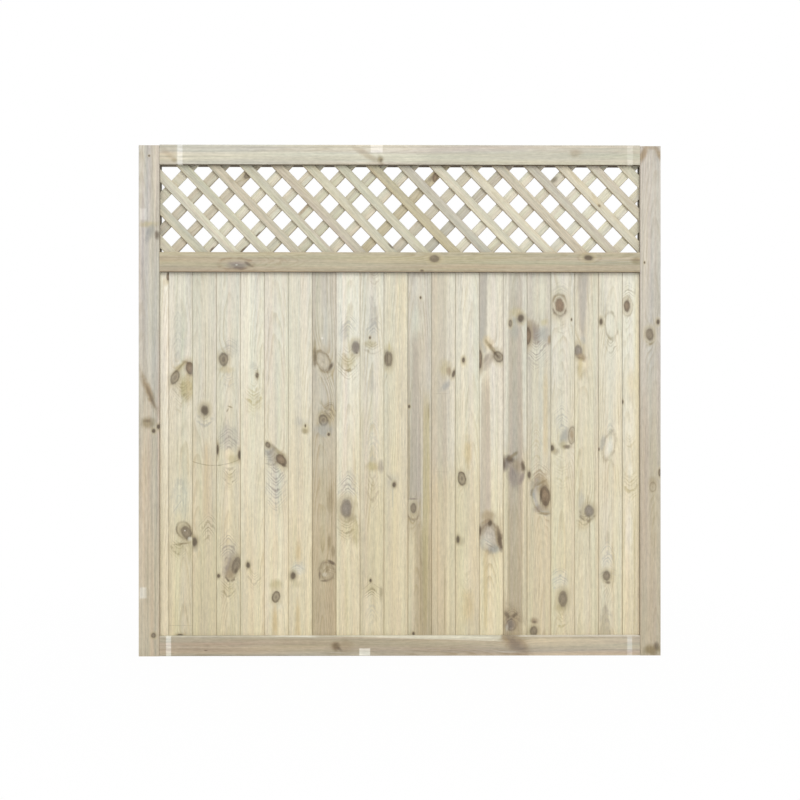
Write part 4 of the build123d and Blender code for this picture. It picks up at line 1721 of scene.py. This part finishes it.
def slat_crossings():
    """Where a front slat crosses a back slat clear of the frame, in metres."""
    low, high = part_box("middle_rail")[1].z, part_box("top_rail")[0].z
    left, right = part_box("left_stile")[1].x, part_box("right_stile")[0].x
    middle = (low + high) / 2
    run = 1 / math.tan(SLAT_SLOPE)
    crossings = []
    for front in range(-SLATS_TRIED, SLATS_TRIED + 1):
        for back in range(-SLATS_TRIED, SLATS_TRIED + 1):
            front_x = (FRONT_SLAT_OFFSET + front * SLAT_SPACING) * MILLIMETRE
            back_x = (BACK_SLAT_OFFSET + back * SLAT_SPACING) * MILLIMETRE
            x = (front_x + back_x) / 2
            z = middle + (front_x - back_x) / 2 / run
            between_stiles = left + STAPLE_MARGIN < x < right - STAPLE_MARGIN
            between_rails = low + STAPLE_MARGIN < z < high - STAPLE_MARGIN
            if between_stiles and between_rails:
                crossings.append((x, z))
    return crossings


def drive_staple(build, staples, place):
    """One staple: a flat wire bent to a crown and two legs, its shoulders rounded."""
    half = staples.crown / 2
    top = staples.proud
    foot = staples.proud - staples.leg
    wire = staples.wire
    outline = (
        (-half, foot), (-half, top), (half, top), (half, foot),
        (half - wire, foot), (half - wire, top - wire), (wire - half, top - wire), (wire - half, foot),
    )
    corners = [build.verts.new(place @ Vector((x, y, -wire / 2))) for x, y in outline]
    face = build.faces.new(corners)
    grown = bmesh.ops.extrude_face_region(build, geom=[face])["geom"]
    far = [item for item in grown if isinstance(item, bmesh.types.BMVert)]
    across = place.to_3x3() @ Vector((0.0, 0.0, wire))
    bmesh.ops.translate(build, verts=far, vec=across)
    shoulders = [edge for edge in build.edges if is_shoulder(edge, corners[1:3], far)]
    bmesh.ops.bevel(
        build, geom=shoulders, offset=wire * SHOULDER_ROUND, offset_type="OFFSET",
        segments=SHOULDER_SEGMENTS, profile=0.5, affect="EDGES", material=-1, clamp_overlap=True,
    )


def is_shoulder(edge, near, far):
    """Whether an edge runs through the wire at a bend of the crown."""
    first, second = edge.verts
    return (first in near and second in far) or (second in near and first in far)


class FENCE_OT_stage(bpy.types.Operator):
    """Set up the camera, the light and the floor"""

    bl_idname = "fence.stage"
    bl_label = "Stage"

    def execute(self, context):
        scene = context.scene
        stage = scene.fence_stage
        scene.view_settings.view_transform = "Standard"
        set_camera(scene, stage)
        hang_lamp(scene, stage)
        make_sky(scene, stage)
        lay_floor(scene, stage)
        return {"FINISHED"}


def set_camera(scene, stage):
    """A camera in front of the panel, a little to its left."""
    camera_data = bpy.data.cameras.new("camera")
    camera_data.lens = stage.lens
    camera = bpy.data.objects.new("camera", camera_data)
    round_left = Matrix.Rotation(-stage.camera_turn, 3, "Z")
    camera.location = round_left @ Vector((stage.camera_side, -stage.camera_distance, stage.camera_height))
    camera.rotation_euler = (math.pi / 2, 0.0, -stage.camera_turn)
    scene.collection.objects.link(camera)
    scene.camera = camera


# The soft lamp: where it hangs and the point it faces, in metres
KEY_PLACE = Vector((0.7, -3.4, 3.9))
KEY_AIM = Vector((0.0, 0.0, 0.9))


def hang_lamp(scene, stage):
    """One large round lamp, in front of the panel and above it."""
    lamp_data = bpy.data.lights.new("key", "AREA")
    lamp_data.shape = "DISK"
    lamp_data.size = stage.key_size
    lamp_data.energy = stage.key_power
    lamp = bpy.data.objects.new("key", lamp_data)
    lamp.location = KEY_PLACE
    lamp.rotation_euler = (KEY_AIM - KEY_PLACE).to_track_quat("-Z", "Y").to_euler()
    scene.collection.objects.link(lamp)


# The sky dome: between which heights it brightens, and its brightness at each, in shares of its strength
SKY_HEIGHTS = (-0.2, 1.0)
SKY_LOW = 0.7
SKY_HIGH = 1.25
WHITE = (1.0, 1.0, 1.0, 1.0)


def make_sky(scene, stage):
    """A dome that lights the panel, brighter overhead, and is seen as plain white."""
    world = bpy.data.worlds.new("sky")
    world.use_nodes = True
    world.node_tree.nodes.clear()
    scene.world = world
    wiring = Wiring(world.node_tree)
    up = wiring.split(wiring.node("ShaderNodeTexCoord").outputs["Generated"])["Z"]
    sky = wiring.ease(up, *SKY_HEIGHTS, SKY_LOW * stage.dome, SKY_HIGH * stage.dome)
    colour = wiring.mix(plain_background(wiring), wiring.join(sky, sky, sky), WHITE)
    background = wiring.node("ShaderNodeBackground", {"Color": colour, "Strength": 1.0})
    wiring.show(background, "ShaderNodeOutputWorld")


def plain_background(wiring):
    """One where the eye, a reflection or a clear piece meets the background, else nothing."""
    path = wiring.node("ShaderNodeLightPath").outputs
    direct = wiring.math("MAXIMUM", path["Is Camera Ray"], path["Is Glossy Ray"])
    return wiring.math("MAXIMUM", direct, path["Is Transmission Ray"])


# The floor: its sides, its tone, how white it is seen under the panel, and how far out that starts to rise
FLOOR_SIDES = 96
FLOOR_TONE = (0.82, 0.82, 0.81, 1.0)
FLOOR_WHITENESS = 0.96
FLOOR_FADE_START = 0.3


def lay_floor(scene, stage):
    """A round floor that shows the panel's shadow."""
    build = bmesh.new()
    bmesh.ops.create_circle(build, cap_ends=True, segments=FLOOR_SIDES, radius=stage.floor_radius)
    mesh = bpy.data.meshes.new("floor")
    build.to_mesh(mesh)
    build.free()
    floor = bpy.data.objects.new("floor", mesh)
    scene.collection.objects.link(floor)
    mesh.materials.append(floor_material(stage))


def floor_material(stage):
    """A pale floor that fades to white away from the panel and keeps its shadow."""
    material, wiring = new_material("floor")
    place = wiring.split(wiring.node("ShaderNodeTexCoord").outputs["Object"])
    x, y = place["X"], place["Y"]
    square = wiring.math("MULTIPLY_ADD", x, x, wiring.math("MULTIPLY", y, y))
    away = wiring.math("SQRT", square)
    paler = wiring.ease(away, FLOOR_FADE_START, stage.shadow_reach, FLOOR_WHITENESS, 1.0)
    white = wiring.math("MULTIPLY", paler, plain_background(wiring))
    matt = wiring.node("ShaderNodeBsdfDiffuse", {"Color": FLOOR_TONE})
    glow = wiring.node("ShaderNodeEmission", {"Color": WHITE, "Strength": 1.0})
    mixed = wiring.node("ShaderNodeMixShader", {"Fac": white})
    wiring.feed(mixed.inputs[1], matt.outputs[0])
    wiring.feed(mixed.inputs[2], glow.outputs[0])
    wiring.show(mixed)
    return material


class FENCE_PT_panel(bpy.types.Panel):
    """Lists what dresses the fence panel"""

    bl_idname = "FENCE_PT_panel"
    bl_label = "Fence Panel"
    bl_space_type = "VIEW_3D"
    bl_region_type = "UI"
    bl_category = "Fence Panel"

    def draw(self, context):
        for operator in OPERATORS:
            self.layout.operator(operator.bl_idname)
        for group in SETTINGS:
            settings = getattr(context.scene, group)
            box = self.layout.box()
            for setting in settings.bl_rna.properties:
                if setting.identifier in settings.__annotations__:
                    box.prop(settings, setting.identifier)


OPERATORS = (
    FENCE_OT_boards,
    FENCE_OT_stiles,
    FENCE_OT_rails,
    FENCE_OT_slats,
    FENCE_OT_nails,
    FENCE_OT_staples,
    FENCE_OT_stage,
)
SETTINGS = {
    "fence_tones": FenceTones,
    "fence_grain": FenceGrain,
    "fence_staples": FenceStaples,
    "fence_stage": FenceStage,
}
CLASSES = (*SETTINGS.values(), *OPERATORS, FENCE_PT_panel)


def register():
    for item in CLASSES:
        bpy.utils.register_class(item)
    for name, group in SETTINGS.items():
        setattr(bpy.types.Scene, name, bpy.props.PointerProperty(type=group))


def unregister():
    for name in SETTINGS:
        delattr(bpy.types.Scene, name)
    for item in reversed(CLASSES):
        bpy.utils.unregister_class(item)


def main():
    register()
    bpy.ops.fence.boards()
    bpy.ops.fence.stiles()
    bpy.ops.fence.rails()
    bpy.ops.fence.slats()
    bpy.ops.fence.nails()
    bpy.ops.fence.staples()
    bpy.ops.fence.stage()


if __name__ == "__main__":
    main()
